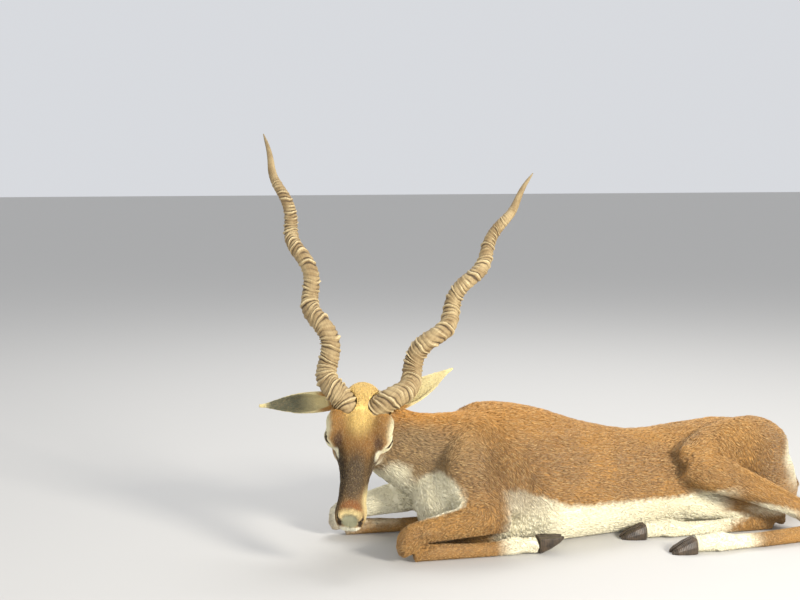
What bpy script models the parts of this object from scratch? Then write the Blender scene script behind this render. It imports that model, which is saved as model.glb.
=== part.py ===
# A life-size blackbuck buck lying on its chest, legs folded, its head turned
# to its left side with the nose low. Metres, +Z up. The trunk runs along X,
# with the rump at +X, the left side at -Y and the floor at Z = 0.

import math

import bmesh
import bpy
import numpy as np
from mathutils import Matrix, Vector

# Gap kept between pieces that touch
GAP = 0.0003

# Points closer than this are one
MERGE = 0.00002

# Trunk: place along X, half depth, half width, roll of the back to the right
TRUNK = (
    (-0.125, 0.050, 0.045, 25),
    (-0.090, 0.092, 0.072, 30),
    (-0.035, 0.124, 0.090, 36),
    (0.030, 0.127, 0.096, 41),
    (0.100, 0.121, 0.093, 47),
    (0.180, 0.108, 0.086, 56),
    (0.280, 0.096, 0.080, 62),
    (0.380, 0.098, 0.084, 63),
    (0.480, 0.095, 0.086, 62),
    (0.550, 0.074, 0.072, 60),
    (0.590, 0.036, 0.038, 60),
)
TRUNK_SINK = 0.008

# Shoulders and thighs: centre lines with the radius
SHOULDER_LEFT = (
    (0.000, 0.035, 0.185, 0.020),
    (-0.030, -0.020, 0.180, 0.034),
    (-0.070, -0.050, 0.150, 0.040),
    (-0.075, -0.072, 0.115, 0.040),
    (-0.045, -0.092, 0.085, 0.038),
    (-0.028, -0.104, 0.070, 0.032),
)
TRICEPS_LEFT = (
    (0.020, -0.020, 0.165, 0.026),
    (0.000, -0.070, 0.130, 0.034),
    (-0.012, -0.096, 0.090, 0.032),
    (-0.020, -0.106, 0.066, 0.026),
)
THIGH_LEFT = (
    (0.545, -0.005, 0.115, 0.044),
    (0.490, -0.028, 0.118, 0.060),
    (0.410, -0.055, 0.120, 0.056),
    (0.345, -0.078, 0.116, 0.042),
    (0.315, -0.084, 0.114, 0.030),
)
THIGH_RIGHT = (
    (0.540, 0.020, 0.060, 0.040),
    (0.470, -0.010, 0.056, 0.052),
    (0.400, -0.035, 0.052, 0.048),
    (0.340, -0.055, 0.046, 0.036),
)
TAIL = (
    (0.555, 0.045, 0.105, 0.020),
    (0.590, 0.052, 0.090, 0.017),
    (0.615, 0.052, 0.062, 0.015),
    (0.632, 0.048, 0.036, 0.012),
    (0.650, 0.043, 0.015, 0.007),
)

# Breast and far shoulder: centre and radii
BREAST = ((-0.088, -0.012, 0.078), (0.060, 0.058, 0.062))
SHOULDER_RIGHT = ((-0.060, 0.062, 0.090), (0.060, 0.036, 0.060))

# Neck: centre line, half width, half height
NECK = (
    (-0.228, 0.040, 0.208, 0.036, 0.040),
    (-0.200, 0.044, 0.190, 0.047, 0.052),
    (-0.160, 0.035, 0.160, 0.055, 0.062),
    (-0.115, 0.020, 0.142, 0.061, 0.073),
    (-0.060, 0.010, 0.132, 0.067, 0.084),
    (0.000, 0.004, 0.118, 0.070, 0.088),
    (0.050, 0.000, 0.110, 0.050, 0.060),
)

# Head: the point of the forehead in front of the horns, and its attitude
BROW = Vector((-0.248, -0.038, 0.233))
HEAD_TURN = 63.0
HEAD_DIP = 50.5
HEAD_ROLL = 7.7

# Head sections, from the poll to the nose, measured from the brow along the
# face: place, half width, top, bottom
HEAD = (
    (-0.076, 0.026, -0.050, -0.095),
    (-0.066, 0.038, -0.030, -0.106),
    (-0.045, 0.045, -0.010, -0.112),
    (-0.020, 0.047, -0.002, -0.113),
    (0.000, 0.046, 0.000, -0.108),
    (0.022, 0.044, 0.001, -0.098),
    (0.045, 0.038, -0.001, -0.086),
    (0.065, 0.0305, -0.004, -0.075),
    (0.085, 0.0255, -0.007, -0.065),
    (0.105, 0.0225, -0.009, -0.057),
    (0.125, 0.0215, -0.010, -0.051),
    (0.145, 0.0230, -0.011, -0.048),
    (0.163, 0.0235, -0.012, -0.046),
    (0.176, 0.0200, -0.017, -0.044),
    (0.185, 0.0120, -0.024, -0.038),
)

# Forms on both sides of the skull: along, to the side, height, then radii
PAIRED_FORMS = {
    "brow_ridge": ((0.012, 0.034, -0.020), (0.030, 0.018, 0.020)),
    "cheek": ((0.006, 0.026, -0.078), (0.046, 0.020, 0.034)),
    "ear_root": ((-0.040, 0.040, -0.042), (0.016, 0.018, 0.018)),
    "nostril_wing": ((0.167, 0.0130, -0.021), (0.013, 0.0095, 0.009)),
    "upper_lip": ((0.155, 0.0145, -0.033), (0.022, 0.0098, 0.009)),
    "horn_seat": ((-0.020, 0.0265, -0.020), (0.024, 0.0235, 0.0190)),
}
MIDDLE_FORMS = {
    "chin": ((0.153, 0, -0.045), (0.021, 0.0145, 0.010)),
    "crown": ((-0.036, 0, -0.018), (0.030, 0.030, 0.0180)),
}

# Mouth: from its corners to the front, the height of its line and its depth
MOUTH_CORNER = 0.112
MOUTH_FRONT = 0.189
MOUTH_HALF_WIDTH = 0.0215
MOUTH_HEIGHT = -0.0370
MOUTH_SAG = 0.0030
MOUTH_UPTURN = 0.0035
MOUTH_DEPTH = 0.0040
MOUTH_REACH = 0.008
MOUTH_HALF_GAP = 0.0007
MOUTH_STEPS = 10

# Nostrils: place, radii and slant
NOSTRIL = (0.1745, 0.0158, -0.0215)
NOSTRIL_RADII = (0.0075, 0.0036, 0.0030)
NOSTRIL_SLANT = 28

# Eyes: place in the head's frame, ball radius, lid thickness, slit and the
# ways it faces and runs
EYE_ALONG = 0.033
EYE_OUT = 0.0355
EYE_DROP = -0.027
EYE_RADIUS = 0.0158
LID_THICKNESS = 0.0032
SLIT_HALF_LENGTH = 0.0125
SLIT_HALF_HEIGHT = 0.0016
SLIT_DEPTH = 0.0085
SLIT_DROP = 0.0023
EYE_FACING = (0.12, 0.93, 0.34)
SLIT_RUN = (0.84, -0.30, -0.02)

# Horns
HORN_SPAN = 0.505
HORN_SPLAY = {-1: 21.0, 1: 26.0}
HORN_LIFT = {-1: 15.6, 1: 12.3}
HORN_BOW = {-1: -0.0061, 1: 0.0059}
HORN_ROOT_SIDE = 0.0319
HORN_ROOT_ALONG = -0.0094
HORN_ROOT_DROP = -0.0224
HORN_RADII = (
    (-0.050, 0.0080),
    (-0.025, 0.0140),
    (0.00, 0.0178),
    (0.05, 0.0178),
    (0.10, 0.0168),
    (0.17, 0.0155),
    (0.30, 0.0147),
    (0.46, 0.0134),
    (0.56, 0.0124),
    (0.65, 0.0112),
    (0.74, 0.0096),
    (0.80, 0.0082),
    (0.87, 0.0063),
    (0.93, 0.0044),
    (0.97, 0.0028),
    (1.00, 0.0010),
)
HORN_TURNS = 4.14
HORN_PHASE = -85.0
HORN_WAVE = 0.0112
HORN_WAVE_FALL = 0.61
HORN_TIP_SHARE = 0.12
HORN_RINGS = 36
HORN_RINGED_SHARE = 0.87
HORN_ROOT_SHARE = -0.006
HORN_DEEP_SHARES = (-0.045, -0.030, -0.016)
HORN_SEAT_SHARE = 0.125
HORN_SEAT_STEP = 0.009
HORN_SOCKET_GAP = 2.2 * GAP
HORN_CREST = 1.075
HORN_GROOVE = 0.925
HORN_SIDES = 11

# Ears: the leaf's outline and curl, then the reach and opening of each
EAR_LENGTH = 0.126
EAR_HALF_WIDTH = 0.0170
EAR_TIP_SHARE = 0.14
EAR_WALL = 0.0022
EAR_ROOT = (-0.040, 0.045, -0.042)
EAR_CURL = (150, 55)
EAR_OPENING_SHARE = 0.77
EAR_DROOP = 0.006
EAR_ROWS = 11
EAR_COLUMNS = 6
EARS = {
    "ear_r": (-1, (0.10, -0.98, -0.14), (0.50, 0.0, 0.86)),
    "ear_l": (1, (-0.60, 0.78, 0.06), (0.55, 0.0, 0.84)),
}

# Legs: centre lines with the radius, from the body to the end of each piece
FORELEG_LEFT = (
    (-0.028, -0.106, 0.070, 0.034),
    (-0.080, -0.104, 0.062, 0.0285),
    (-0.130, -0.099, 0.054, 0.0225),
    (-0.163, -0.094, 0.048, 0.0200),
    (-0.183, -0.091, 0.040, 0.0205),
    (-0.190, -0.090, 0.028, 0.0195),
    (-0.184, -0.090, 0.016, 0.0170),
)
FORE_CANNON_LEFT = (
    (-0.178, -0.090, 0.0140, 0.0142),
    (-0.100, -0.100, 0.0118, 0.0118),
    (-0.045, -0.107, 0.0118, 0.0116),
    (-0.020, -0.111, 0.0150, 0.0152),
    (0.002, -0.114, 0.0150, 0.0126),
    (0.024, -0.117, 0.0140, 0.0138),
)
FORELEG_RIGHT_SHIFT = Vector((-0.057, 0.178, 0.0))

HINDLEG_LEFT = (
    (0.322, -0.084, 0.118, 0.034),
    (0.350, -0.102, 0.104, 0.034),
    (0.410, -0.142, 0.080, 0.0265),
    (0.465, -0.180, 0.054, 0.0190),
    (0.497, -0.202, 0.036, 0.0195),
    (0.508, -0.208, 0.024, 0.0185),
    (0.503, -0.209, 0.015, 0.0155),
)
HIND_CANNON_LEFT = (
    (0.494, -0.209, 0.0140, 0.0142),
    (0.400, -0.210, 0.0120, 0.0122),
    (0.335, -0.207, 0.0120, 0.0120),
    (0.312, -0.205, 0.0155, 0.0156),
    (0.290, -0.202, 0.0150, 0.0130),
    (0.266, -0.198, 0.0140, 0.0140),
)
HINDLEG_RIGHT = (
    (0.330, -0.052, 0.046, 0.036),
    (0.350, -0.068, 0.042, 0.032),
    (0.400, -0.094, 0.035, 0.024),
    (0.445, -0.116, 0.028, 0.0185),
    (0.468, -0.125, 0.024, 0.0190),
    (0.476, -0.128, 0.020, 0.0185),
    (0.471, -0.129, 0.015, 0.0155),
)
HIND_CANNON_RIGHT = (
    (0.462, -0.129, 0.0140, 0.0142),
    (0.370, -0.123, 0.0120, 0.0122),
    (0.300, -0.115, 0.0120, 0.0120),
    (0.277, -0.112, 0.0155, 0.0156),
    (0.255, -0.107, 0.0150, 0.0130),
    (0.231, -0.101, 0.0140, 0.0140),
)

# Thin cuts that part the body: centre, direction and radius, then a point of
# the piece that comes off
NECK_CUT = ((-0.178, 0.040, 0.173), (0.80, -0.10, -0.55), 0.085)
CUTS = (
    ("head", NECK_CUT, (-0.300, -0.141, 0.093)),
    ("neck", ((-0.114, 0.004, 0.150), (0.84, 0.0, -0.54), 0.0875), (-0.140, 0.030, 0.215)),
    ("foreleg_l", ((-0.112, -0.101, 0.057), (1.0, -0.08, 0.15), 0.034), (-0.205, -0.090, 0.030)),
    ("foreleg_r", ((-0.169, 0.077, 0.057), (1.0, -0.08, 0.15), 0.034), (-0.265, 0.088, 0.030)),
    ("hindleg_l", ((0.448, -0.168, 0.061), (0.80, -0.54, -0.38), 0.034), (0.520, -0.210, 0.030)),
    ("hindleg_r", ((0.440, -0.114, 0.029), (0.85, -0.40, -0.15), 0.030), (0.485, -0.133, 0.030)),
    ("tail", ((0.596, 0.052, 0.085), (0.75, 0.05, -0.65), 0.028), (0.650, 0.043, 0.015)),
    ("hindquarters", ((0.268, 0.0, 0.080), (1.0, 0.0, 0.0), 0.160), (0.500, 0.060, 0.150)),
)

# Hooves: half of a cloven hoof, its sections as share of the length, share of
# the half width and height, and the outline of a section
CLAW_LENGTH = 0.042
CLAW_HALF_WIDTH = 0.0076
CLAW_SPLIT = 0.0012
CLAW_SPREAD = 0.0035
CLAW_TOP = 0.0270
CLAW_SECTIONS = (
    (0.00, 0.86, 0.0250),
    (0.12, 1.00, 0.0255),
    (0.45, 0.96, 0.0195),
    (0.80, 0.70, 0.0110),
    (1.00, 0.22, 0.0045),
)
CLAW_OUTLINE = ((0.0, 0.0), (2.0, 0.0), (2.0, 0.45), (1.55, 0.85), (0.9, 1.0), (0.0, 0.95))

# Dewclaws, from the back of the fetlock: to the side, down and along
DEWCLAW_PLACE = (0.0085, 0.0095, 0.006)
DEWCLAW_RADII = (0.0085, 0.0045, 0.0050)

# Meshing
BODY_VOXEL = 0.0042
HEAD_VOXEL = 0.0026
BODY_TRIANGLES = 4620
HEAD_TRIANGLES = 2600
FLOOR_REACH = 3.0

COLOURS = {
    "tan": (0.46, 0.25, 0.10, 1.0),
    "horn": (0.42, 0.32, 0.19, 1.0),
    "eye": (0.02, 0.012, 0.008, 1.0),
    "hoof": (0.035, 0.028, 0.024, 1.0),
}


def material(name, colour, roughness):
    """A Principled material of one colour."""
    made = bpy.data.materials.new(name)
    made.use_nodes = True
    shader = made.node_tree.nodes["Principled BSDF"]
    shader.inputs["Base Color"].default_value = colour
    shader.inputs["Roughness"].default_value = roughness
    shader.inputs["Metallic"].default_value = 0.0
    return made


def object_from(name, mesh):
    """A new object of the scene that carries the mesh."""
    made = bpy.data.objects.new(name, mesh)
    bpy.context.scene.collection.objects.link(made)
    return made


def object_from_bmesh(name, bm):
    """A new object from a bmesh, its faces pointing out."""
    bmesh.ops.recalc_face_normals(bm, faces=bm.faces)
    mesh = bpy.data.meshes.new(name)
    bm.to_mesh(mesh)
    bm.free()
    return object_from(name, mesh)


def remove(item):
    """Take an object and its mesh out of the file."""
    mesh = item.data
    bpy.data.objects.remove(item)
    bpy.data.meshes.remove(mesh)


def apply_modifiers(item):
    """Replace an object's mesh by what its modifiers make of it."""
    graph = bpy.context.evaluated_depsgraph_get()
    mesh = bpy.data.meshes.new_from_object(item.evaluated_get(graph))
    old = item.data
    item.modifiers.clear()
    item.data = mesh
    bpy.data.meshes.remove(old)


def boolean(item, cutters, operation):
    """Join the cutters to the item, or cut them from it, and remove them."""
    group = bpy.data.collections.new("cutters")
    for cutter in cutters:
        group.objects.link(cutter)
    change = item.modifiers.new("boolean", "BOOLEAN")
    change.operation = operation
    change.solver = "EXACT"
    change.operand_type = "COLLECTION"
    change.collection = group
    apply_modifiers(item)
    for cutter in cutters:
        remove(cutter)
    bpy.data.collections.remove(group)
    bm = bmesh.new()
    bm.from_mesh(item.data)
    bmesh.ops.remove_doubles(bm, verts=bm.verts, dist=MERGE)
    bm.to_mesh(item.data)
    bm.free()


def smooth_rows(rows, steps):
    """Rows of numbers with a smooth curve laid through them."""
    rows = np.array(rows, float)
    padded = np.vstack((2 * rows[0] - rows[1], rows, 2 * rows[-1] - rows[-2]))
    result = []
    for i in range(1, len(padded) - 2):
        a, b, c, d = padded[i - 1:i + 3]
        for k in range(steps):
            t = k / steps
            result.append(0.5 * (2 * b + (c - a) * t + (2 * a - 5 * b + 4 * c - d) * t * t
                                 + (3 * b - a - 3 * c + d) * t ** 3))
    result.append(padded[-2])
    return result


def loft(name, rings):
    """A closed tube through rings of points, its ends filled."""
    bm = bmesh.new()
    loops = [[bm.verts.new(point) for point in ring] for ring in rings]
    count = len(rings[0])
    for low, high in zip(loops, loops[1:]):
        for i in range(count):
            j = (i + 1) % count
            bm.faces.new((low[i], low[j], high[j], high[i]))
    bm.faces.new(loops[0])
    bm.faces.new(loops[-1])
    bmesh.ops.triangulate(bm, faces=[face for face in bm.faces if len(face.verts) > 4])
    return object_from_bmesh(name, bm)


def oval(centre, side, up, half_width, top, bottom, sides):
    """Points of an oval whose upper and lower halves may differ."""
    points = []
    for i in range(sides):
        angle = 2 * math.pi * i / sides
        height = top if math.sin(angle) > 0 else bottom
        points.append(centre + side * (half_width * math.cos(angle)) + up * (height * math.sin(angle)))
    return points


def tube(name, rows, sides=16, steps=4):
    """A round tube along a centre line, with half width and half height."""
    rows = smooth_rows(rows, steps)
    rings = []
    for i, row in enumerate(rows):
        before = Vector(rows[max(i - 1, 0)][:3])
        after = Vector(rows[min(i + 1, len(rows) - 1)][:3])
        along = (after - before).normalized()
        side = along.cross(Vector((0, 0, 1)))
        if side.length < 0.2:
            side = along.cross(Vector((1, 0, 0)))
        side.normalize()
        up = side.cross(along)
        width = row[3]
        height = row[4] if len(row) > 4 else row[3]
        rings.append(oval(Vector(row[:3]), side, up, width, height, height, sides))
    return loft(name, rings)


def ellipsoid(name, centre, radii, basis=None, segments=20, rings=12):
    """A closed ellipsoid, its radii along the axes of the basis."""
    bm = bmesh.new()
    bmesh.ops.create_uvsphere(bm, u_segments=segments, v_segments=rings, radius=1.0)
    turn = basis.to_4x4() if basis else Matrix.Identity(4)
    scale = Matrix.Diagonal((radii[0], radii[1], radii[2], 1.0))
    bmesh.ops.transform(bm, matrix=Matrix.Translation(centre) @ turn @ scale, verts=bm.verts)
    return object_from_bmesh(name, bm)


def fuse(name, parts, voxel, passes, triangles):
    """One closed skin round all the parts, smoothed and thinned."""
    bm = bmesh.new()
    for part in parts:
        bm.from_mesh(part.data)
        remove(part)
    item = object_from_bmesh(name, bm)
    skin = item.modifiers.new("skin", "REMESH")
    skin.mode = "VOXEL"
    skin.voxel_size = voxel
    soft = item.modifiers.new("soft", "SMOOTH")
    soft.factor = 0.5
    soft.iterations = passes
    apply_modifiers(item)
    count = sum(len(face.vertices) - 2 for face in item.data.polygons)
    thin = item.modifiers.new("thin", "DECIMATE")
    thin.ratio = min(1.0, triangles / count)
    thin.use_collapse_triangulate = True
    apply_modifiers(item)
    return item


def inflated_copy(item, distance):
    """A copy of an object, grown outwards."""
    copy = object_from(item.name + "_grown", item.data.copy())
    bm = bmesh.new()
    bm.from_mesh(copy.data)
    bm.normal_update()
    moves = [vert.normal * (distance * vert.calc_shell_factor()) for vert in bm.verts]
    for vert, move in zip(bm.verts, moves):
        vert.co += move
    bm.to_mesh(copy.data)
    bm.free()
    return copy


def slab(centre, normal, radius, thickness=GAP):
    """A thin disc that parts whatever it crosses."""
    bm = bmesh.new()
    bmesh.ops.create_cone(bm, cap_ends=True, segments=32, radius1=radius, radius2=radius, depth=thickness)
    turn = Vector(normal).to_track_quat("Z", "Y").to_matrix().to_4x4()
    bmesh.ops.transform(bm, matrix=Matrix.Translation(centre) @ turn, verts=bm.verts)
    return object_from_bmesh("slab", bm)


def floor_block():
    """All that lies below the floor."""
    bm = bmesh.new()
    bmesh.ops.create_cube(bm, size=FLOOR_REACH)
    bmesh.ops.translate(bm, vec=(0, 0, -FLOOR_REACH / 2), verts=bm.verts)
    return object_from_bmesh("floor_block", bm)


def islands(bm):
    """The separate closed surfaces of a bmesh, as lists of faces."""
    left = set(bm.faces)
    found = []
    while left:
        start = left.pop()
        island = [start]
        stack = [start]
        while stack:
            face = stack.pop()
            for edge in face.edges:
                for other in edge.link_faces:
                    if other in left:
                        left.remove(other)
                        island.append(other)
                        stack.append(other)
        found.append(island)
    return found


def keep_islands(item, keep):
    """Keep the faces of the chosen surfaces only."""
    bm = bmesh.new()
    bm.from_mesh(item.data)
    found = islands(bm)
    chosen = keep(found)
    drop = [face for island in found if island is not chosen for face in island]
    bmesh.ops.delete(bm, geom=drop, context="FACES")
    bm.to_mesh(item.data)
    bm.free()


def keep_largest(item):
    """Keep the surface with most faces."""
    keep_islands(item, lambda found: max(found, key=len))


def take_node(whole, name, seed):
    """The surface of the whole that passes nearest the seed, as an object."""
    node = object_from(name, whole.data.copy())

    def nearest(found):
        return min(found, key=lambda island: distance_to(island, seed))

    keep_islands(node, nearest)
    return node


def part_off(whole, name, cut, seed):
    """Cut through the whole and take the piece on the seed's side from it."""
    boolean(whole, [slab(*cut)], "DIFFERENCE")
    piece = take_node(whole, name, seed)
    keep_islands(whole, lambda found: max(found, key=lambda island: distance_to(island, seed)))
    return piece


def distance_to(island, point):
    """How far the nearest face of a surface lies from a point."""
    return min((face.calc_center_median() - Vector(point)).length for face in island)


def head_frame():
    """The directions of the head: nose, left side and brow."""
    turn = math.radians(HEAD_TURN)
    dip = math.radians(HEAD_DIP)
    roll = math.radians(HEAD_ROLL)
    nose = Vector((-math.cos(turn) * math.cos(dip), -math.sin(turn) * math.cos(dip), -math.sin(dip)))
    level = Vector((math.sin(turn), -math.cos(turn), 0))
    brow = nose.cross(level)
    left = level * math.cos(roll) - brow * math.sin(roll)
    return nose, left, nose.cross(left)


NOSE, LEFT, UP = head_frame()
HEAD_BASIS = Matrix((NOSE, LEFT, UP)).transposed()


def on_head(along, side, height):
    """A point given in the head's own frame."""
    return BROW + NOSE * along + LEFT * side + UP * height


def head_direction(along, side, height):
    """A direction given in the head's own frame."""
    return (NOSE * along + LEFT * side + UP * height).normalized()


def trunk_parts():
    """The trunk, rolled on to its right side towards the rump."""
    rings = []
    for place, depth, width, roll in smooth_rows(TRUNK, 4):
        turn = math.radians(roll)
        back = Vector((0, math.sin(turn), math.cos(turn)))
        side = Vector((0, math.cos(turn), -math.sin(turn)))
        rise = math.hypot(depth * math.cos(turn), width * math.sin(turn))
        rings.append(oval(Vector((place, 0, rise - TRUNK_SINK)), side, back, width, depth, depth, 32))
    return [loft("trunk", rings)]


def shoulder_parts():
    """Shoulders, upper arms and breast."""
    return [
        tube("shoulder_left", SHOULDER_LEFT),
        tube("triceps_left", TRICEPS_LEFT),
        ellipsoid("breast", *BREAST),
        ellipsoid("shoulder_right", *SHOULDER_RIGHT),
    ]


def haunch_parts():
    """Thighs and rump."""
    return [tube("thigh_left", THIGH_LEFT), tube("thigh_right", THIGH_RIGHT)]


def shifted(rows):
    """The rows of a left foreleg, moved to the right one's place."""
    return [(x + FORELEG_RIGHT_SHIFT.x, y + FORELEG_RIGHT_SHIFT.y, z, radius) for x, y, z, radius in rows]


def leg_parts():
    """The upper lengths of the folded legs, down to knee and hock."""
    return [
        tube("forearm_left", FORELEG_LEFT),
        tube("forearm_right", shifted(FORELEG_LEFT)),
        tube("gaskin_left", HINDLEG_LEFT),
        tube("gaskin_right", HINDLEG_RIGHT),
    ]


def tail_parts():
    """The short tail, hanging down behind the rump."""
    return [tube("tail_core", TAIL)]


def neck_parts():
    """The neck, bent to the left behind the head."""
    return [tube("neck_core", NECK, sides=24)]


def head_parts():
    """Skull, muzzle, cheeks, brows and lids."""
    rings = []
    for along, width, top, bottom in smooth_rows(HEAD, 3):
        middle = (top + bottom) / 2
        rings.append(oval(on_head(along, 0, middle), LEFT, UP, width, top - middle, middle - bottom, 24))
    parts = [loft("skull", rings)]
    lid = EYE_RADIUS + LID_THICKNESS
    for side in (-1, 1):
        eye = on_head(EYE_ALONG, side * EYE_OUT, EYE_DROP)
        parts.append(ellipsoid("lid", eye, (lid, lid, lid), HEAD_BASIS))
        for name, ((along, out, height), radii) in PAIRED_FORMS.items():
            parts.append(ellipsoid(name, on_head(along, side * out, height), radii, HEAD_BASIS))
    for name, (place, radii) in MIDDLE_FORMS.items():
        parts.append(ellipsoid(name, on_head(*place), radii, HEAD_BASIS))
    return parts


def mouth_cutter():
    """The line of the mouth, a thin bow round the muzzle."""
    bm = bmesh.new()
    rows = []
    for i in range(-MOUTH_STEPS, MOUTH_STEPS + 1):
        share = abs(i) / MOUTH_STEPS
        bend = math.copysign(math.sqrt(1 - (1 - share) ** 2.2), i)
        middle = MOUTH_FRONT - 0.010
        along = middle - (middle - MOUTH_CORNER) * share ** 1.6
        height = MOUTH_HEIGHT - MOUTH_SAG * share + MOUTH_UPTURN * max(0.0, 4 * share - 3)
        inner = (along - MOUTH_DEPTH * (1 - share), bend * (MOUTH_HALF_WIDTH - MOUTH_DEPTH))
        outer = (along + (MOUTH_FRONT - along + MOUTH_REACH) * (1 - share) ** 0.5,
                 bend * (MOUTH_HALF_WIDTH + MOUTH_REACH))
        corners = ((inner, -1), (outer, -1), (outer, 1), (inner, 1))
        rows.append([bm.verts.new(on_head(x, y, height + turn * MOUTH_HALF_GAP)) for (x, y), turn in corners])
    for low, high in zip(rows, rows[1:]):
        for k in range(4):
            n = (k + 1) % 4
            bm.faces.new((low[k], low[n], high[n], high[k]))
    bm.faces.new(rows[0])
    bm.faces.new(rows[-1])
    bmesh.ops.triangulate(bm, faces=bm.faces)
    return object_from_bmesh("mouth_cutter", bm)


def nostril_cutters():
    """Two slanted slits on the sides of the nose pad."""
    along, out, height = NOSTRIL
    cutters = []
    for side in (-1, 1):
        turn = Matrix.Rotation(math.radians(side * NOSTRIL_SLANT), 3, "Z")
        cutters.append(ellipsoid("nostril", on_head(along, side * out, height), NOSTRIL_RADII,
                                 HEAD_BASIS @ turn, 12, 8))
    return cutters


def eye_axes(side):
    """Directions of an eye: along its slit, outwards and across."""
    out = head_direction(EYE_FACING[0], side * EYE_FACING[1], EYE_FACING[2])
    slit = head_direction(SLIT_RUN[0], side * SLIT_RUN[1], SLIT_RUN[2])
    slit = (slit - out * slit.dot(out)).normalized()
    return Matrix((slit, out, slit.cross(out))).transposed()


def eye_socket(side):
    """The hollow that the ball of an eye fills."""
    eye = on_head(EYE_ALONG, side * EYE_OUT, EYE_DROP)
    return ellipsoid("socket", eye, (EYE_RADIUS + GAP,) * 3, eye_axes(side), 16, 9)


def eye_slit(side):
    """The slit between the lids."""
    axes = eye_axes(side)
    eye = on_head(EYE_ALONG, side * EYE_OUT, EYE_DROP)
    opening = eye + axes.col[1] * EYE_RADIUS - axes.col[2] * SLIT_DROP
    return ellipsoid("slit", opening, (SLIT_HALF_LENGTH, SLIT_DEPTH, SLIT_HALF_HEIGHT), axes, 14, 7)


def eyeball(name, side):
    """The ball of an eye."""
    eye = on_head(EYE_ALONG, side * EYE_OUT, EYE_DROP)
    return ellipsoid(name, eye, (EYE_RADIUS,) * 3, eye_axes(side), 16, 9)


def horn_radius(share):
    """Radius of a horn at a share of its length, without rings."""
    places, radii = zip(*HORN_RADII)
    return float(np.interp(share, places, radii))


def horn_line(side):
    """The centre line of a horn as a function of the share of its length."""
    root = on_head(HORN_ROOT_ALONG, side * HORN_ROOT_SIDE, HORN_ROOT_DROP)
    splay = math.radians(HORN_SPLAY[side])
    lift = math.radians(HORN_LIFT[side])
    axis = head_direction(-math.cos(splay) * math.cos(lift), side * math.sin(splay),
                          math.cos(splay) * math.sin(lift))
    out = head_direction(math.sin(splay), side * math.cos(splay), 0)
    out = (out - axis * out.dot(axis)).normalized()
    front = head_direction(0, 0, 1)
    front = (front - axis * front.dot(axis) - out * front.dot(out)).normalized()

    def point(share):
        phase = math.radians(HORN_PHASE) + 2 * math.pi * HORN_TURNS * share
        grown = min(max(share, 0.0), 1.0)
        left = max(0.0, 1 - share)
        wave = HORN_WAVE * left ** HORN_WAVE_FALL * min(1.0, left / HORN_TIP_SHARE) ** 0.3
        bow = HORN_BOW[side] * math.sin(math.pi * min(1.0, grown * 1.15))
        return (root + axis * (HORN_SPAN * share) + out * (wave * math.sin(phase) + bow)
                + front * (wave * math.cos(phase)))

    return point


def horn(name, side):
    """A ringed, spiral horn."""
    stations = [(share, 1.0) for share in HORN_DEEP_SHARES]
    for i in range(HORN_RINGS):
        start = ring_place(i)
        pitch = ring_place(i + 1) - start
        fade = 1.0 - (i / HORN_RINGS) ** 3
        stations.append((start, 1 - (1 - HORN_GROOVE) * fade))
        stations.append((start + 0.22 * pitch, 1 + (HORN_CREST - 1) * fade))
        stations.append((start + 0.66 * pitch, 1.0))
    tip_start = ring_place(HORN_RINGS)
    for k in range(6):
        stations.append((tip_start + (1 - tip_start) * k / 5, 1.0))
    return loft(name, horn_rings(side, stations))


def ring_place(index):
    """Where a ring starts, as a share of the horn's length."""
    share = index / HORN_RINGS
    spread = share * 1.12 - 0.12 * share * share
    return HORN_ROOT_SHARE + (HORN_RINGED_SHARE - HORN_ROOT_SHARE) * spread


def horn_rings(side, stations, gap=0.0):
    """Rings of points round a horn at shares of its length, each with its swell."""
    point = horn_line(side)
    step = 0.006
    rings = []
    for share, swell in stations:
        along = (point(share + step) - point(share - step)).normalized()
        out = (LEFT * side - along * along.dot(LEFT * side)).normalized()
        radius = horn_radius(share) * swell + gap
        rings.append(oval(point(share), out, along.cross(out), radius, radius, radius, HORN_SIDES))
    return rings


def horn_socket(side):
    """The seat that a horn fills in the skull."""
    stations = [(share, 1.0) for share in HORN_DEEP_SHARES]
    stations[0] = (HORN_DEEP_SHARES[0] - GAP / HORN_SPAN, 1.0)
    seat = np.arange(HORN_ROOT_SHARE / 2, HORN_SEAT_SHARE, HORN_SEAT_STEP)
    stations += [(share, HORN_CREST) for share in seat]
    return loft("horn_socket", horn_rings(side, stations, HORN_SOCKET_GAP))


def ear(name, side, reach, opening):
    """A cupped, leaf-shaped ear."""
    root = on_head(EAR_ROOT[0], side * EAR_ROOT[1], EAR_ROOT[2])
    axis = head_direction(*reach)
    face = head_direction(*opening)
    face = (face - axis * face.dot(axis)).normalized()
    wide = axis.cross(face)
    rings = []
    for i in range(EAR_ROWS + 1):
        share = i / EAR_ROWS
        leaf = math.sin(math.pi * (0.22 + 0.78 * share) ** 0.88)
        width = EAR_HALF_WIDTH * max(leaf, EAR_TIP_SHARE)
        opened = min(1.0, share / EAR_OPENING_SHARE)
        curl = math.radians(EAR_CURL[0] + (EAR_CURL[1] - EAR_CURL[0]) * opened)
        radius = width / math.sin(min(curl, math.pi / 2))
        wall = EAR_WALL * (1 - 0.45 * share)
        centre = root + axis * (EAR_LENGTH * share) + face * (radius * 0.6 - EAR_DROOP * share * share)
        outer, inner = [], []
        for k in range(EAR_COLUMNS + 1):
            angle = curl * (2 * k / EAR_COLUMNS - 1)
            ray = wide * math.sin(angle) - face * math.cos(angle)
            outer.append(centre + ray * radius)
            inner.append(centre + ray * max(radius - wall, radius * 0.35))
        rings.append(outer + inner[::-1])
    return loft(name, rings)


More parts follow.
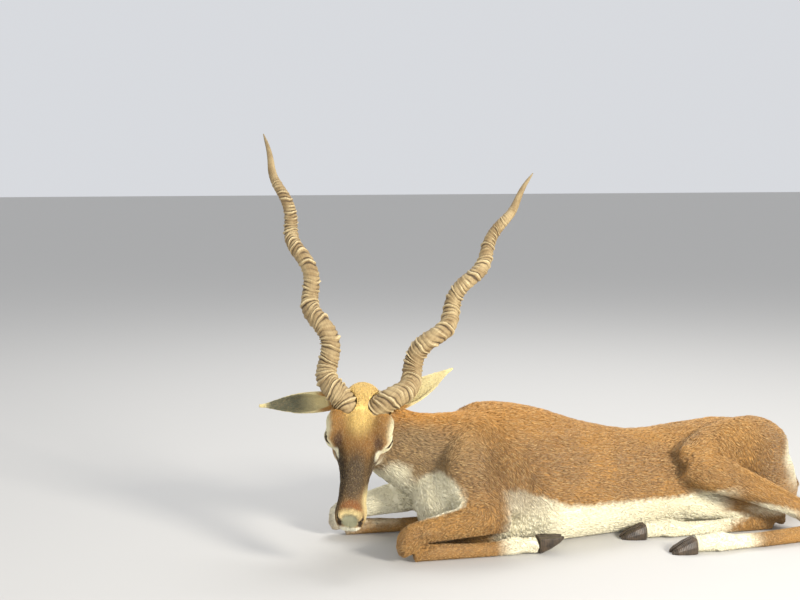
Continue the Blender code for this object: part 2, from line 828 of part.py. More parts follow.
def dewclaws(rows, down):
    """Two small dewclaws at the back of the fetlock."""
    fetlock = Vector(rows[3][:3])
    along = (Vector(rows[4][:3]) - Vector(rows[2][:3])).normalized()
    side = along.cross(Vector((0, 0, 1))).normalized()
    basis = Matrix((along, side, side.cross(along))).transposed()
    out, drop, ahead = DEWCLAW_PLACE
    middle = fetlock + along * ahead - Vector((0, 0, down * drop))
    places = [middle + side * (turn * out) for turn in (-1, 1)]
    return [ellipsoid("dewclaw", place, DEWCLAW_RADII, basis, 10, 6) for place in places]


def cannon(name, rows, down):
    """A cannon with its fetlock, pastern and dewclaws."""
    item = tube(name, rows, sides=10, steps=2)
    boolean(item, dewclaws(rows, down), "UNION")
    return item


def claw(name, rows, side, down):
    """One half of a cloven hoof, with its sole up or down."""
    end = Vector(rows[-1][:3])
    along = end - Vector(rows[-2][:3])
    along.z = 0
    along.normalize()
    across = along.cross(Vector((0, 0, 1))).normalized() * side
    up = Vector((0, 0, down))
    rings = []
    for share, width, height in CLAW_SECTIONS:
        place = end + along * (GAP + CLAW_LENGTH * share)
        place.z = 0.0 if down > 0 else CLAW_TOP
        half = CLAW_HALF_WIDTH * width
        inner = place + across * (CLAW_SPLIT / 2 + CLAW_SPREAD * share * share)
        rings.append([inner + across * (half * u) + up * (height * v) for u, v in CLAW_OUTLINE])
    return loft(name, rings)


def finish(item, look, sharp=40):
    """Give a node its material and smooth shading."""
    item.data.materials.clear()
    item.data.materials.append(look)
    item.data.shade_smooth()
    item.data.set_sharp_from_angle(angle=math.radians(sharp))


def cut_by_floor(item):
    """Take off all that reaches below the floor."""
    boolean(item, [floor_block()], "DIFFERENCE")
    keep_largest(item)


def build():
    """Model every node and centre the whole on its footprint."""
    for old in list(bpy.data.objects):
        bpy.data.objects.remove(old)

    body = fuse("body", trunk_parts() + shoulder_parts() + haunch_parts() + leg_parts() + tail_parts()
                + neck_parts() + head_parts(), BODY_VOXEL, 6, BODY_TRIANGLES)
    fine = fuse("fine", head_parts() + neck_parts(), HEAD_VOXEL, 8, HEAD_TRIANGLES)

    lower = {
        "foreleg_l": (FORE_CANNON_LEFT, -1),
        "foreleg_r": (shifted(FORE_CANNON_LEFT), -1),
        "hindleg_l": (HIND_CANNON_LEFT, 1),
        "hindleg_r": (HIND_CANNON_RIGHT, 1),
    }
    nodes = {}
    for leg, (rows, down) in lower.items():
        shank = cannon(leg + "_cannon", rows, down)
        cut_by_floor(shank)
        nodes[shank.name] = shank
        for side, place in ((-1, "a"), (1, "b")):
            name = leg + "_hoof_" + place
            nodes[name] = claw(name, rows, side, down)
            boolean(nodes[name], [inflated_copy(shank, GAP)], "DIFFERENCE")
            keep_largest(nodes[name])

    for item in nodes.values():
        boolean(body, [inflated_copy(item, GAP)], "DIFFERENCE")
    cut_by_floor(body)

    for name, cut, seed in CUTS:
        nodes[name] = part_off(body, name, cut, seed)
    nodes["torso"] = body
    body.name = "torso"

    boolean(fine, [slab(*NECK_CUT)], "DIFFERENCE")
    remove(nodes["head"])
    head = take_node(fine, "head", on_head(0.18, 0, -0.03))
    remove(fine)
    boolean(head, [mouth_cutter()] + nostril_cutters(), "DIFFERENCE")
    for side in (-1, 1):
        boolean(head, [eye_socket(side)], "DIFFERENCE")
        boolean(head, [eye_slit(side)], "DIFFERENCE")
        boolean(head, [horn_socket(side)], "DIFFERENCE")
    keep_largest(head)
    nodes["head"] = head

    nodes["eye_r"] = eyeball("eye_r", -1)
    nodes["eye_l"] = eyeball("eye_l", 1)
    nodes["horn_r"] = horn("horn_r", -1)
    nodes["horn_l"] = horn("horn_l", 1)
    for name, (side, reach, opening) in EARS.items():
        nodes[name] = ear(name, side, reach, opening)
        for neighbour in (head, nodes[name.replace("ear", "horn")]):
            boolean(nodes[name], [inflated_copy(neighbour, GAP)], "DIFFERENCE")
        keep_largest(nodes[name])

    looks = {name: material(name, colour, 0.3 if name == "eye" else 0.7) for name, colour in COLOURS.items()}
    for name, item in nodes.items():
        kind = name.split("_")[0]
        look = "hoof" if "hoof" in name else kind if kind in ("horn", "eye") else "tan"
        finish(item, looks[look])

    corners = np.array([vert.co for item in nodes.values() for vert in item.data.vertices])
    low, high = corners.min(axis=0), corners.max(axis=0)
    stand = bpy.data.objects.new("blackbuck", None)
    bpy.context.scene.collection.objects.link(stand)
    stand.location = (-(low[0] + high[0]) / 2, -(low[1] + high[1]) / 2, 0)
    for item in nodes.values():
        item.parent = stand


build()
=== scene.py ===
import math

import bpy
import numpy as np
from mathutils.bvhtree import BVHTree
from mathutils import Matrix, Vector, noise


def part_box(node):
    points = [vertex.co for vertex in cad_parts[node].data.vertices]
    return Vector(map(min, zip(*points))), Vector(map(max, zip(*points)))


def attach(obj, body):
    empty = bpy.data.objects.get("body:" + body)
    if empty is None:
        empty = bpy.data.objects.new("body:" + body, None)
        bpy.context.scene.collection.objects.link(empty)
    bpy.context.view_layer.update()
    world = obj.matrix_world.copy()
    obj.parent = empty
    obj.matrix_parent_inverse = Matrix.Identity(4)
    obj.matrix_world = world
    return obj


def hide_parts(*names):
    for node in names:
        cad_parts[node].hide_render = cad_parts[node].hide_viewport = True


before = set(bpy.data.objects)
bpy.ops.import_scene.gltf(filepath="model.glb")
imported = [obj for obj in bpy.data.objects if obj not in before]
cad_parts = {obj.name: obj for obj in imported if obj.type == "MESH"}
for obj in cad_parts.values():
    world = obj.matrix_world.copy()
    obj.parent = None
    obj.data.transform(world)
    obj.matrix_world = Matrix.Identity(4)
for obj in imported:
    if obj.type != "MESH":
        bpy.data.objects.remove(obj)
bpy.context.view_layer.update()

# Sizes are in metres and degrees unless a comment says otherwise. Sides are -1 for the animal's
# right and 1 for its left. The animal's own frame: the place of the brow in it, how the head is
# held, the eyes' place from the brow, and the ways that they and their slits face
BROW_PLACE = Vector((-0.248, -0.038, 0.233))
HEAD_TURN = 63.0
HEAD_DIP = 50.5
HEAD_ROLL = 7.7
EYE_ALONG = 0.033
EYE_DROP = -0.027
EYE_FACING = (0.12, 0.93, 0.34)
SLIT_RUN = (0.84, -0.3, -0.02)
EYE_NODES = {-1: "eye_r", 1: "eye_l"}

# Camera: height over the floor, heading, fall of the view, distances to the animal's own origin
# sideways and ahead, focal length in pixels of the frame, and width of the sensor in millimetres
CAMERA_HEIGHT = 0.61
CAMERA_HEADING = 20.0
CAMERA_FALL = 5.85
CAMERA_SIDE = 0.1585
CAMERA_BACK = 2.06
FOCAL_PIXELS = 1250.0
FRAME_PIXELS = 800.0
SENSOR_WIDTH = 36.0

# Horns: places along them are shares of their length, counted from the root
HORN_SPAN = 0.505
HORN_SPLAY = {-1: 21.0, 1: 26.0}
HORN_LIFT = {-1: 15.6, 1: 12.3}
HORN_BOW = {-1: -0.0061, 1: 0.0059}
HORN_ROOT = (-0.0094, 0.0319, -0.0224)
HORN_RADII = (
    (-0.05, 0.008), (-0.025, 0.014), (0.0, 0.0178), (0.05, 0.0178), (0.1, 0.0168), (0.17, 0.0155),
    (0.3, 0.0147), (0.46, 0.0134), (0.56, 0.0124), (0.65, 0.0112), (0.74, 0.0096), (0.8, 0.0082),
    (0.87, 0.0063), (0.93, 0.0044), (0.97, 0.0028), (1.0, 0.0008),
)
HORN_TURNS = 4.14
HORN_PHASE = -85.0
HORN_WAVE = 0.0112
HORN_WAVE_FALL = 0.61
HORN_TIP_SHARE = 0.12
HORN_SUNK = -0.045
HORN_RINGS = 39
HORN_RING_START = -0.006
HORN_RING_END = 0.87
HORN_SWELL = 0.105
HORN_COLUMNS = 48
HORN_TIP_ROWS = 44
ROOT_COUNTS = (-4.0, -3.0, -2.0, -1.2, -0.5)
ROOT_SHARES = (HORN_SUNK, -0.036, -0.028, -0.02, -0.013)
RING_PARTS = (0.0, 0.09, 0.18, 0.26, 0.33, 0.39, 0.44, 0.5, 0.57, 0.66, 0.76, 0.88)

# Ears
EAR_ROOT = (-0.04, 0.045, -0.042)
EAR_LENGTH = 0.126
EAR_REACH = {-1: (0.1, -0.98, -0.14), 1: (-0.6, 0.78, 0.06)}
EAR_OPENING = {-1: (0.5, 0.0, 0.86), 1: (0.55, 0.0, 0.84)}

SKIN_VOXEL = 0.0015
SKIN_TRIANGLES = 175000
SKIN_SMOOTHING = 60
EAR_THICKENING = 0.0007
FLOOR_GAP = 0.0004
COAT_THINNING = 1.0
PIECE_TUFTS = 32000
PATCH_WIDTH = 0.003
SEED = 11

FLESH = ["head", "neck", "torso", "hindquarters", "tail", "ear_l", "ear_r"]
for limb in ("foreleg_l", "foreleg_r", "hindleg_l", "hindleg_r"):
    FLESH += [limb, limb + "_cannon"]


def head_basis():
    """The directions of the head as columns: nose, left side and brow."""
    turn, dip, roll = (math.radians(value) for value in (HEAD_TURN, HEAD_DIP, HEAD_ROLL))
    nose = Vector((-math.cos(turn) * math.cos(dip), -math.sin(turn) * math.cos(dip), -math.sin(dip)))
    level = Vector((math.sin(turn), -math.cos(turn), 0))
    brow = nose.cross(level)
    left = level * math.cos(roll) - brow * math.sin(roll)
    return Matrix((nose, left, nose.cross(left))).transposed()


HEAD = head_basis()


def middle(node):
    """The middle of a node's box."""
    low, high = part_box(node)
    return (low + high) / 2


EYES = {side: middle(node) for side, node in EYE_NODES.items()}
BROW = (EYES[-1] + EYES[1]) / 2 - HEAD @ Vector((EYE_ALONG, 0, EYE_DROP))
SHIFT = BROW - BROW_PLACE


def on_head(along, side, height):
    """A point given in the head's frame."""
    return BROW + HEAD @ Vector((along, side, height))


def head_direction(along, side, height):
    """A direction given in the head's frame."""
    return (HEAD @ Vector((along, side, height))).normalized()


def on_body(point):
    """A point given in the animal's own frame."""
    return Vector(point) + SHIFT


def seen(points, centre, basis):
    """The points as seen from a centre, along the directions of a basis."""
    return (points - np.array(centre)) @ np.array(basis)


def eye_axes(side):
    """An eye's directions as columns: along its slit, outwards and across."""
    out = head_direction(EYE_FACING[0], side * EYE_FACING[1], EYE_FACING[2])
    slit = head_direction(SLIT_RUN[0], side * SLIT_RUN[1], SLIT_RUN[2])
    slit = (slit - out * slit.dot(out)).normalized()
    return Matrix((slit, out, slit.cross(out))).transposed()


# Shared steps

def only(*items):
    """Leave object mode's selection on these objects alone, the first one active."""
    bpy.ops.object.select_all(action="DESELECT")
    for item in items:
        item.select_set(True)
    bpy.context.view_layer.objects.active = items[0]


def modified(item, kind, **values):
    """Add a modifier to an object and apply it."""
    only(item)
    change = item.modifiers.new(kind.lower(), kind)
    for name, value in values.items():
        setattr(change, name, value)
    bpy.ops.object.modifier_apply(modifier=change.name)


def in_edit_mode(item, *steps):
    """Select all of an object's mesh in edit mode and run the steps on it."""
    only(item)
    bpy.ops.object.mode_set(mode="EDIT")
    bpy.ops.mesh.select_all(action="SELECT")
    for step in steps:
        step()
    bpy.ops.object.mode_set(mode="OBJECT")


def coordinates(item):
    """An object's points as an array."""
    flat = np.empty(len(item.data.vertices) * 3)
    item.data.vertices.foreach_get("co", flat)
    return flat.reshape(-1, 3)


def set_coordinates(item, points):
    """Give an object's points new places."""
    item.data.vertices.foreach_set("co", np.ascontiguousarray(points, np.float32).ravel())
    item.data.update()


def point_normals(item):
    """An object's point normals as an array."""
    flat = np.empty(len(item.data.vertices) * 3, np.float32)
    item.data.vertex_normals.foreach_get("vector", flat)
    return flat.reshape(-1, 3).astype(float)


def unit(rows):
    """Rows of vectors, each made one long."""
    return rows / np.maximum(np.linalg.norm(rows, axis=1, keepdims=True), 1e-9)


def face_corners(item):
    """The points at the three corners of each face."""
    corners = np.empty(len(item.data.loops), int)
    item.data.loops.foreach_get("vertex_index", corners)
    return corners.reshape(-1, 3)


def keep_note(mesh, name, values):
    """Keep a number, or a row of three, for each point of a mesh."""
    kind, key = ("FLOAT", "value") if values.ndim == 1 else ("FLOAT_VECTOR", "vector")
    made = mesh.attributes.new(name, kind, "POINT")
    made.data.foreach_set(key, values.astype(np.float32).ravel())


def placed(name, data):
    """A new object of the scene."""
    item = bpy.data.objects.new(name, data)
    bpy.context.scene.collection.objects.link(item)
    return item


def copied(node, name):
    """A copy of a node's mesh, its points merged."""
    item = placed(name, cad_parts[node].data.copy())
    in_edit_mode(item, lambda: bpy.ops.mesh.remove_doubles(threshold=1e-5))
    return item


def dressed(item, look, slot, *nodes):
    """Give a piece its material and smooth shading, and let it stand for its nodes. The slot is not used."""
    item.data.materials.clear()
    item.data.materials.append(look)
    item.data.shade_smooth()
    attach(item, "root")
    if nodes:
        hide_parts(*nodes)
    return item


def wrapped(name, columns, rows, place):
    """A grid rolled into a closed tube, each point placed by its turn and row."""
    bpy.ops.mesh.primitive_grid_add(x_subdivisions=columns, y_subdivisions=rows - 1, size=2)
    item = bpy.context.object
    item.name = name
    flat = coordinates(item)
    turn = np.round((flat[:, 0] + 1) / 2 * columns) / columns * 2 * math.pi
    row = np.round((flat[:, 1] + 1) / 2 * (rows - 1)).astype(int)
    set_coordinates(item, place(turn, row))
    return item


def sealed(item):
    """Close the seam and the ends of a rolled grid."""
    in_edit_mode(
        item,
        lambda: bpy.ops.mesh.remove_doubles(threshold=2e-6),
        lambda: bpy.ops.mesh.fill_holes(sides=0),
        lambda: bpy.ops.mesh.normals_make_consistent(inside=False),
    )


def metres(*points):
    """Points given in millimetres."""
    return [tuple(value / 1000 for value in point) for point in points]


def moved(points, step):
    """Points moved by one step."""
    return [tuple(a + b for a, b in zip(point, step)) for point in points]


def ear_line(side):
    """The line of an ear, from its root to its tip, in the head's frame."""
    root = Vector((EAR_ROOT[0], side * EAR_ROOT[1], EAR_ROOT[2]))
    tip = root + Vector(EAR_REACH[side]).normalized() * EAR_LENGTH
    return [tuple(root), tuple(tip)]


# The lie of the coat: each line runs the way the hair lies over the flesh round it. A row gives
# the piece it belongs to, the line's points, how far it reaches, then length, width, lift, spacing
# and depth of the coat there. Sizes are in millimetres, lifts in degrees
LEFT_FORE_SHIFT = (-0.057, 0.178, 0.0)
FOREARM = metres((-20, -106, 68), (-130, -99, 54), (-192, -90, 26))
FORE_CANNON = metres((-188, -90, 14), (-100, -100, 12), (24, -117, 14))
THIGH_COAT = (28, 8.5, 1.05, 8, 1.95, 1.6)
FOREARM_COAT = (26, 8, 1, 8, 1.85, 1.4)
CANNON_COAT = (14, 5.2, 0.85, 8, 1.5, 0.6)
JAW_COAT = (28, 6.8, 0.8, 9, 1.45, 1.1)
LID_COAT = (13, 3.4, 0.6, 7, 1.1, 0.8)
EAR_COAT = (22, 4.8, 0.65, 5, 1.2, 0)
LIE = (
    ("trunk", metres((-80, 0, 120), (100, 0, 110), (300, 0, 100), (570, 0, 90)),
     115, 12.5, 1.25, 9, 2.35, 2.6),
    ("neck", metres((-215, 43, 200), (-160, 35, 165), (-60, 10, 135)), 65, 13.5, 1.2, 10, 2.15, 2.6),
    ("neck", metres((-130, -20, 120), (-105, -30, 40)), 45, 13.5, 1.2, 10, 2.15, 2.6),
    ("trunk", metres((-40, -70, 215), (-20, -112, 130), (0, -118, 50)), 50, 11.5, 1.2, 9, 2.2, 2.4),
    ("trunk", metres((-40, 60, 170), (-60, 85, 70)), 50, 11.5, 1.2, 9, 2.35, 2.4),
    ("hind", metres((390, -30, 240), (420, -105, 160), (455, -130, 70)), 60, 12, 1.25, 9, 2.35, 2.6),
    ("hind", metres((350, -102, 104), (465, -180, 54), (508, -208, 24)), *THIGH_COAT),
    ("hind", metres((350, -68, 42), (476, -128, 20)), *THIGH_COAT),
    ("hind", metres((560, 45, 105), (615, 52, 62), (650, 43, 15)), 20, 19, 1.2, 12, 1.8, 2),
    ("legs", FOREARM, *FOREARM_COAT),
    ("legs", moved(FOREARM, LEFT_FORE_SHIFT), *FOREARM_COAT),
    ("legs", FORE_CANNON, *CANNON_COAT),
    ("legs", moved(FORE_CANNON, LEFT_FORE_SHIFT), *CANNON_COAT),
    ("legs", metres((503, -209, 14), (266, -198, 14)), *CANNON_COAT),
    ("legs", metres((471, -129, 14), (231, -101, 14)), *CANNON_COAT),
    ("head", metres((60, 0, -30), (182, 0, -30)), 26, 3.8, 0.62, 8, 1.18, 0.7),
    ("head", metres((0, 0, -20), (60, 0, -25)), 40, 6, 0.75, 9, 1.3, 1.1),
    ("head", metres((-10, 0, -20), (-62, 0, -30)), 34, 7, 0.8, 7, 1.4, 1.4),
    ("head", metres((70, 24, -50), (-20, 38, -85)), *JAW_COAT),
    ("head", metres((70, -24, -50), (-20, -38, -85)), *JAW_COAT),
    ("head", metres((150, 0, -46), (0, 0, -105)), 20, 7, 0.8, 10, 1.45, 1.1),
    ("head", metres((52, 44, -26), (16, 52, -24)), *LID_COAT),
    ("head", metres((52, -44, -26), (16, -52, -24)), *LID_COAT),
    ("head", ear_line(1), *EAR_COAT),
    ("head", ear_line(-1), *EAR_COAT),
)
COAT_UNITS = (1000, 1000, 1, 1000, 1000)
FLOW_SHARPNESS = 3.0


def coat_at(points):
    """The lie of the coat at each point, its measures there and its piece."""
    total = np.zeros(len(points))
    lie = np.zeros((len(points), 3))
    measures = np.zeros((len(points), 5))
    shares = {}
    for piece, line, reach, *values in LIE:
        line = [np.array(on_head(*point) if piece == "head" else on_body(point)) for point in line]
        nearest = np.full(len(points), np.inf)
        run = np.zeros((len(points), 3))
        for start, end in zip(line, line[1:]):
            step = end - start
            share = np.clip((points - start) @ step / (step @ step), 0, 1)
            far = np.linalg.norm(points - start - share[:, None] * step, axis=1)
            closer = far < nearest
            nearest[closer] = far[closer]
            run[closer] = step / np.linalg.norm(step)
        weight = np.exp(-FLOW_SHARPNESS * (nearest / (reach / 1000)) ** 2) + 1e-12
        total += weight
        lie += weight[:, None] * run
        measures += weight[:, None] * (np.array(values) / COAT_UNITS)
        shares[piece] = shares.get(piece, 0) + weight
    names = sorted(shares)
    owner = np.argmax(np.array([shares[name] for name in names]), axis=0)
    return unit(lie), measures / total[:, None], np.array(names)[owner]


# The skin

# Fold of skin between the flank and the thigh: centre and radii
SKIN_FOLDS = (((0.318, -0.087, 0.132), (0.018, 0.012, 0.021)),)
# Places smoothed once more, where the thigh and the withers meet the trunk: centre and radius
SKIN_EASED = (((0.316, -0.1, 0.138), 0.02), ((-0.052, 0.025, 0.228), 0.034))
# Depth of coat from which the skin is smoothed more, up to this much deeper, and the least share
BROAD_FROM, BROAD_OVER, BROAD_LEAST = 0.0012, 0.001, 0.12
# Radius round the middle of an eye where the skin keeps the flesh's surface
LID_RADIUS = 0.012


def joined_flesh():
    """One object of all the flesh nodes' copies, each merged first."""
    copies = []
    for node in FLESH:
        item = copied(node, node + "_flesh")
        if node.startswith("ear"):
            modified(item, "DISPLACE", strength=EAR_THICKENING, mid_level=0.0)
        copies.append(item)
    for centre, radii in SKIN_FOLDS:
        bpy.ops.mesh.primitive_uv_sphere_add(segments=32, ring_count=16, radius=1, location=on_body(centre))
        bpy.ops.transform.resize(value=radii)
        bpy.ops.object.transform_apply(location=True, rotation=True, scale=True)
        copies.append(bpy.context.object)
    only(*copies)
    bpy.ops.object.join()
    item = bpy.context.object
    item.name = item.data.name = "skin"
    return item


def weigh(item, name, weights, steps=20):
    """A vertex group with a weight for each point, in so many steps."""
    group = item.vertex_groups.new(name=name)
    for level in range(1, steps + 1):
        chosen = np.flatnonzero(np.round(weights * steps).astype(int) == level)
        group.add([int(i) for i in chosen], level / steps, "REPLACE")


def closeness(points, spots):
    """How near each point is to any spot, a centre and radius: 1 inside, 0 from two radii on."""
    result = np.zeros(len(points))
    for centre, radius in spots:
        far = np.linalg.norm(points - np.array(centre), axis=1) / radius
        result = np.maximum(result, np.clip(2 - far, 0, 1))
    return result


def fineness(points):
    """1 on the head and ears, falling to 0 on the body."""
    spots = [(on_head(0.1, 0, -0.03), 0.06), (on_head(0.02, 0, -0.05), 0.078)]
    for side in (-1, 1):
        root, tip = (Vector(on_head(*point)) for point in ear_line(side))
        spots += [(root.lerp(tip, share), 0.026) for share in (0.0, 0.25, 0.5, 0.75, 1.0)]
    return closeness(points, spots)


def pushed(points, side, centre, radii, way, depth):
    """The points of the skin with one hollow or swelling made on a side of the head."""
    centre, radii = metres(centre, radii)
    place = on_head(centre[0], side * centre[1], centre[2])
    push = np.array(head_direction(way[0], side * way[1], way[2]))
    weight = np.exp(-np.sum((seen(points, place, HEAD) / np.array(radii)) ** 2, axis=1))
    return points + push * (depth / 1000 * weight)[:, None]


# Hollows and swellings of the head, for both sides: place and radii in millimetres, then the way
# and the depth of the push
HEAD_SHAPING = (
    ((-14, 47, -46), (18, 14, 13), (0, -1, 0), 3),
    ((77, 31, -36), (12, 10, 3), (0, -1, 0), 3),
    ((66, 34, -44), (18, 10, 4), (0, 1, 0), 1.6),
    ((6, 52, -18), (20, 14, 16), (0, 1, 0.2), 3),
    ((75, 30, -56), (30, 10, 5), (0, 1, 0), 1.6),
    ((105, 20, -20), (36, 7, 6), (-0.1, -0.7, -0.7), 1.6),
    ((30, 18, 3), (30, 8, 10), (0, 0, -1), 1.8),
    ((18, 40, -6), (22, 10, 8), (0, 0.6, 0.8), 2.2),
    ((172, 16, -15), (7, 6, 3), (0.3, 0.5, 0.8), 1.2),
    ((171.8, 17.5, -19.5), (7.2, 6, 2.4), (-0.5, -0.85, -0.1), 5.2),
    ((177.5, 15.2, -26.2), (6, 5, 3.6), (-0.7, -0.6, 0.0), 3),
    ((158, 21, -31), (16, 6, 3.5), (0, 1, 0), 1),
    ((30, 30, -94), (50, 12, 8), (0, -0.5, 0.5), 2),
)
PHILTRUM = ((186, 0, -27), (7, 1.1, 9), (-1, 0, 0), 1.3)
LID_FOLDS = ((0.0062, 0.0011, -0.0013), (0.0036, 0.0014, 0.0007), (-0.0062, 0.0012, -0.0009),
             (-0.0036, 0.0013, 0.0005), (0.0105, 0.0022, -0.0008))
SLIT_HALF_LENGTH = 0.0135
SLIT_HALF_HEIGHT = 0.0022
SLIT_SINK = 0.0016
SLIT_EDGE = 0.0007
RIM_HEIGHT, RIM_PLACE, RIM_WIDTH = 0.0008, 0.0012, 0.001
LID_REACH, LID_HEIGHT = 0.015, 0.016
LID_BOW, LID_BOW_LEAST = 17.6, 0.35
MOUTH_CORNER, MOUTH_FRONT = 0.112, 0.189
MOUTH_HEIGHT, MOUTH_SAG, MOUTH_UPTURN = -0.037, 0.003, 0.0035
MOUTH_WIDTH, MOUTH_DEPTH = 0.0012, 0.003
LIP_PUFF, LIP_PLACE, LIP_WIDTH = 0.001, 0.0038, 0.0024


def mouth_height(along):
    """Height of the line of the mouth at a place along the head."""
    front = MOUTH_FRONT - 0.01
    share = np.clip((front - along) / (front - MOUTH_CORNER), 0, 1) ** (1 / 1.6)
    return MOUTH_HEIGHT - MOUTH_SAG * share + MOUTH_UPTURN * np.maximum(0, 4 * share - 3)


def shape_eye(points, side):
    """The points with an eye's lids folded and its slit sunk down to the ball."""
    axes = eye_axes(side)
    eye = seen(points, EYES[side], axes)
    near = np.exp(-(eye[:, 0] / LID_REACH) ** 4) * (eye[:, 1] > 0) * np.exp(-(eye[:, 2] / LID_HEIGHT) ** 4)
    bow = np.clip(1 - LID_BOW * np.abs(eye[:, 0]), LID_BOW_LEAST, 1)
    for height, width, depth in LID_FOLDS:
        ridge = np.exp(-((eye[:, 2] - height * bow) / width) ** 2)
        points = points + np.array(axes.col[1]) * (depth * ridge * near)[:, None]
    low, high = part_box("eye_r" if side < 0 else "eye_l")
    ball = (high.x - low.x) / 2
    eye = seen(points, EYES[side], axes)
    opening = SLIT_HALF_HEIGHT * np.clip(1 - (eye[:, 0] / SLIT_HALF_LENGTH) ** 2, 0, 1)
    past = np.abs(eye[:, 2]) - opening
    share = np.clip(0.5 - past / SLIT_EDGE, 0, 1) * (eye[:, 1] > 0) * (opening > 0.0003)
    sunk = np.minimum(1, (ball - SLIT_SINK) / np.maximum(np.linalg.norm(eye, axis=1), 1e-6))
    eye = eye * (1 - share * (1 - sunk))[:, None]
    eye[:, 1] += RIM_HEIGHT * np.exp(-((past - RIM_PLACE) / RIM_WIDTH) ** 2) * near * (share <= 0)
    return np.array(EYES[side]) + eye @ np.array(axes).T


def shape_head(item):
    """Press the hollows, lids, lips and nostrils into the skin of the head."""
    points = coordinates(item)
    for row in HEAD_SHAPING:
        for side in (-1, 1):
            points = pushed(points, side, *row)
    points = pushed(points, 1, *PHILTRUM)
    local = seen(points, BROW, HEAD)
    off = local[:, 2] - mouth_height(local[:, 0])
    along = np.clip((local[:, 0] - MOUTH_CORNER + 0.006) / 0.012, 0, 1)
    groove = np.exp(-(off / MOUTH_WIDTH) ** 2) * MOUTH_DEPTH
    puff = np.exp(-((np.abs(off) - LIP_PLACE) / LIP_WIDTH) ** 2) * LIP_PUFF
    points = points + point_normals(item) * (along * (puff - groove))[:, None]
    for side in (-1, 1):
        points = shape_eye(points, side)
    set_coordinates(item, points)


def build_skin(look):
    """The whole hide as one closed surface, with the coat's depth taken off."""
    item = joined_flesh()
    modified(item, "REMESH", mode="VOXEL", voxel_size=SKIN_VOXEL)
    modified(item, "SMOOTH", factor=0.5, iterations=3)
    points = coordinates(item)
    fine = fineness(points)
    depth = coat_at(points)[1][:, 4]
    weigh(item, "broad", np.clip((depth - BROAD_FROM) / BROAD_OVER, BROAD_LEAST, 1) * (1 - fine))
    modified(item, "SMOOTH", factor=0.5, iterations=SKIN_SMOOTHING, vertex_group="broad")
    item.vertex_groups.clear()
    weigh(item, "eased", closeness(points, [(on_body(centre), radius) for centre, radius in SKIN_EASED]))
    modified(item, "SMOOTH", factor=0.5, iterations=4 * SKIN_SMOOTHING, vertex_group="eased")
    item.vertex_groups.clear()
    weigh(item, "plain", np.clip(1 - fine, 0, 1))
    count = 2 * len(item.data.polygons)
    modified(item, "DECIMATE", ratio=min(1.0, SKIN_TRIANGLES / count), vertex_group="plain",
             vertex_group_factor=6.0, use_collapse_triangulate=True)
    item.vertex_groups.clear()
    points = coordinates(item)
    lids = closeness(points, [(EYES[side], LID_RADIUS) for side in (-1, 1)])
    depth = coat_at(points)[1][:, 4] * (1 - lids)
    points -= point_normals(item) * depth[:, None]
    points[:, 2] = np.maximum(points[:, 2], FLOOR_GAP)
    set_coordinates(item, points)
    refine_face(item)
    shape_head(item)
    keep_note(item.data, "inner", inner_ear(coordinates(item), point_normals(item)))
    return dressed(item, look, "coat", *FLESH)


# The ear's hollow: from and to along the ear, half its width, the line that it faces
HOLLOW_FROM, HOLLOW_TO = 0.012, 0.97 * EAR_LENGTH
HOLLOW_WIDTH = 0.03
HOLLOW_FOCUS = 0.019


def inner_ear(points, normals):
    """1 on the hollow side of the ears, 0 elsewhere."""
    result = np.zeros(len(points))
    for side in (-1, 1):
        root, tip = (np.array(on_head(*point)) for point in ear_line(side))
        axis = (tip - root) / np.linalg.norm(tip - root)
        opening = np.array(head_direction(*EAR_OPENING[side]))
        opening = opening - axis * (opening @ axis)
        opening /= np.linalg.norm(opening)
        along = (points - root) @ axis
        off = points - root - along[:, None] * axis
        near = (along > HOLLOW_FROM) & (along < HOLLOW_TO) & (np.linalg.norm(off, axis=1) < HOLLOW_WIDTH)
        inwards = np.sum(normals * unit(HOLLOW_FOCUS * opening - off), axis=1)
        result = np.maximum(result, near * np.clip(inwards * 3.0, 0, 1))
    return result


def refine_face(item):
    """Split the faces round the eyes, nostrils and mouth once more."""
    spots = [(EYES[side] + eye_axes(side).col[1] * 0.012, 0.011) for side in (-1, 1)]
    spots += [(on_head(0.176, 0, -0.028), 0.014)]
    near = closeness(coordinates(item), spots) > 0.5
    in_edit_mode(item, lambda: bpy.ops.mesh.select_all(action="DESELECT"))
    item.data.polygons.foreach_set("select", near[face_corners(item)].any(axis=1))
    bpy.ops.object.mode_set(mode="EDIT")
    bpy.ops.mesh.select_mode(type="FACE")
    bpy.ops.mesh.subdivide(number_cuts=1)
    bpy.ops.mesh.select_all(action="SELECT")
    bpy.ops.mesh.quads_convert_to_tris()
    bpy.ops.object.mode_set(mode="OBJECT")


# The coat

def unwrapped(item):
    """The skin's own unwrap, as a flat place for each corner of its faces."""
    copy = placed("unwrap", item.data.copy())
    in_edit_mode(copy, lambda: bpy.ops.uv.smart_project(angle_limit=math.radians(66), island_margin=0.002))
    flat = np.empty(len(copy.data.loops) * 2, np.float32)
    copy.data.uv_layers.active.data.foreach_get("uv", flat)
    mesh = copy.data
    bpy.data.objects.remove(copy)
    bpy.data.meshes.remove(mesh)
    return flat.reshape(-1, 3, 2)


# Half sizes of the hairless slit of the eye, reach of the ball, height of the bare underside
BARE_SLIT_LENGTH, BARE_SLIT_HEIGHT = 0.0165, 0.0038
BARE_BALL = 0.0168
BARE_SOLE = 0.0012


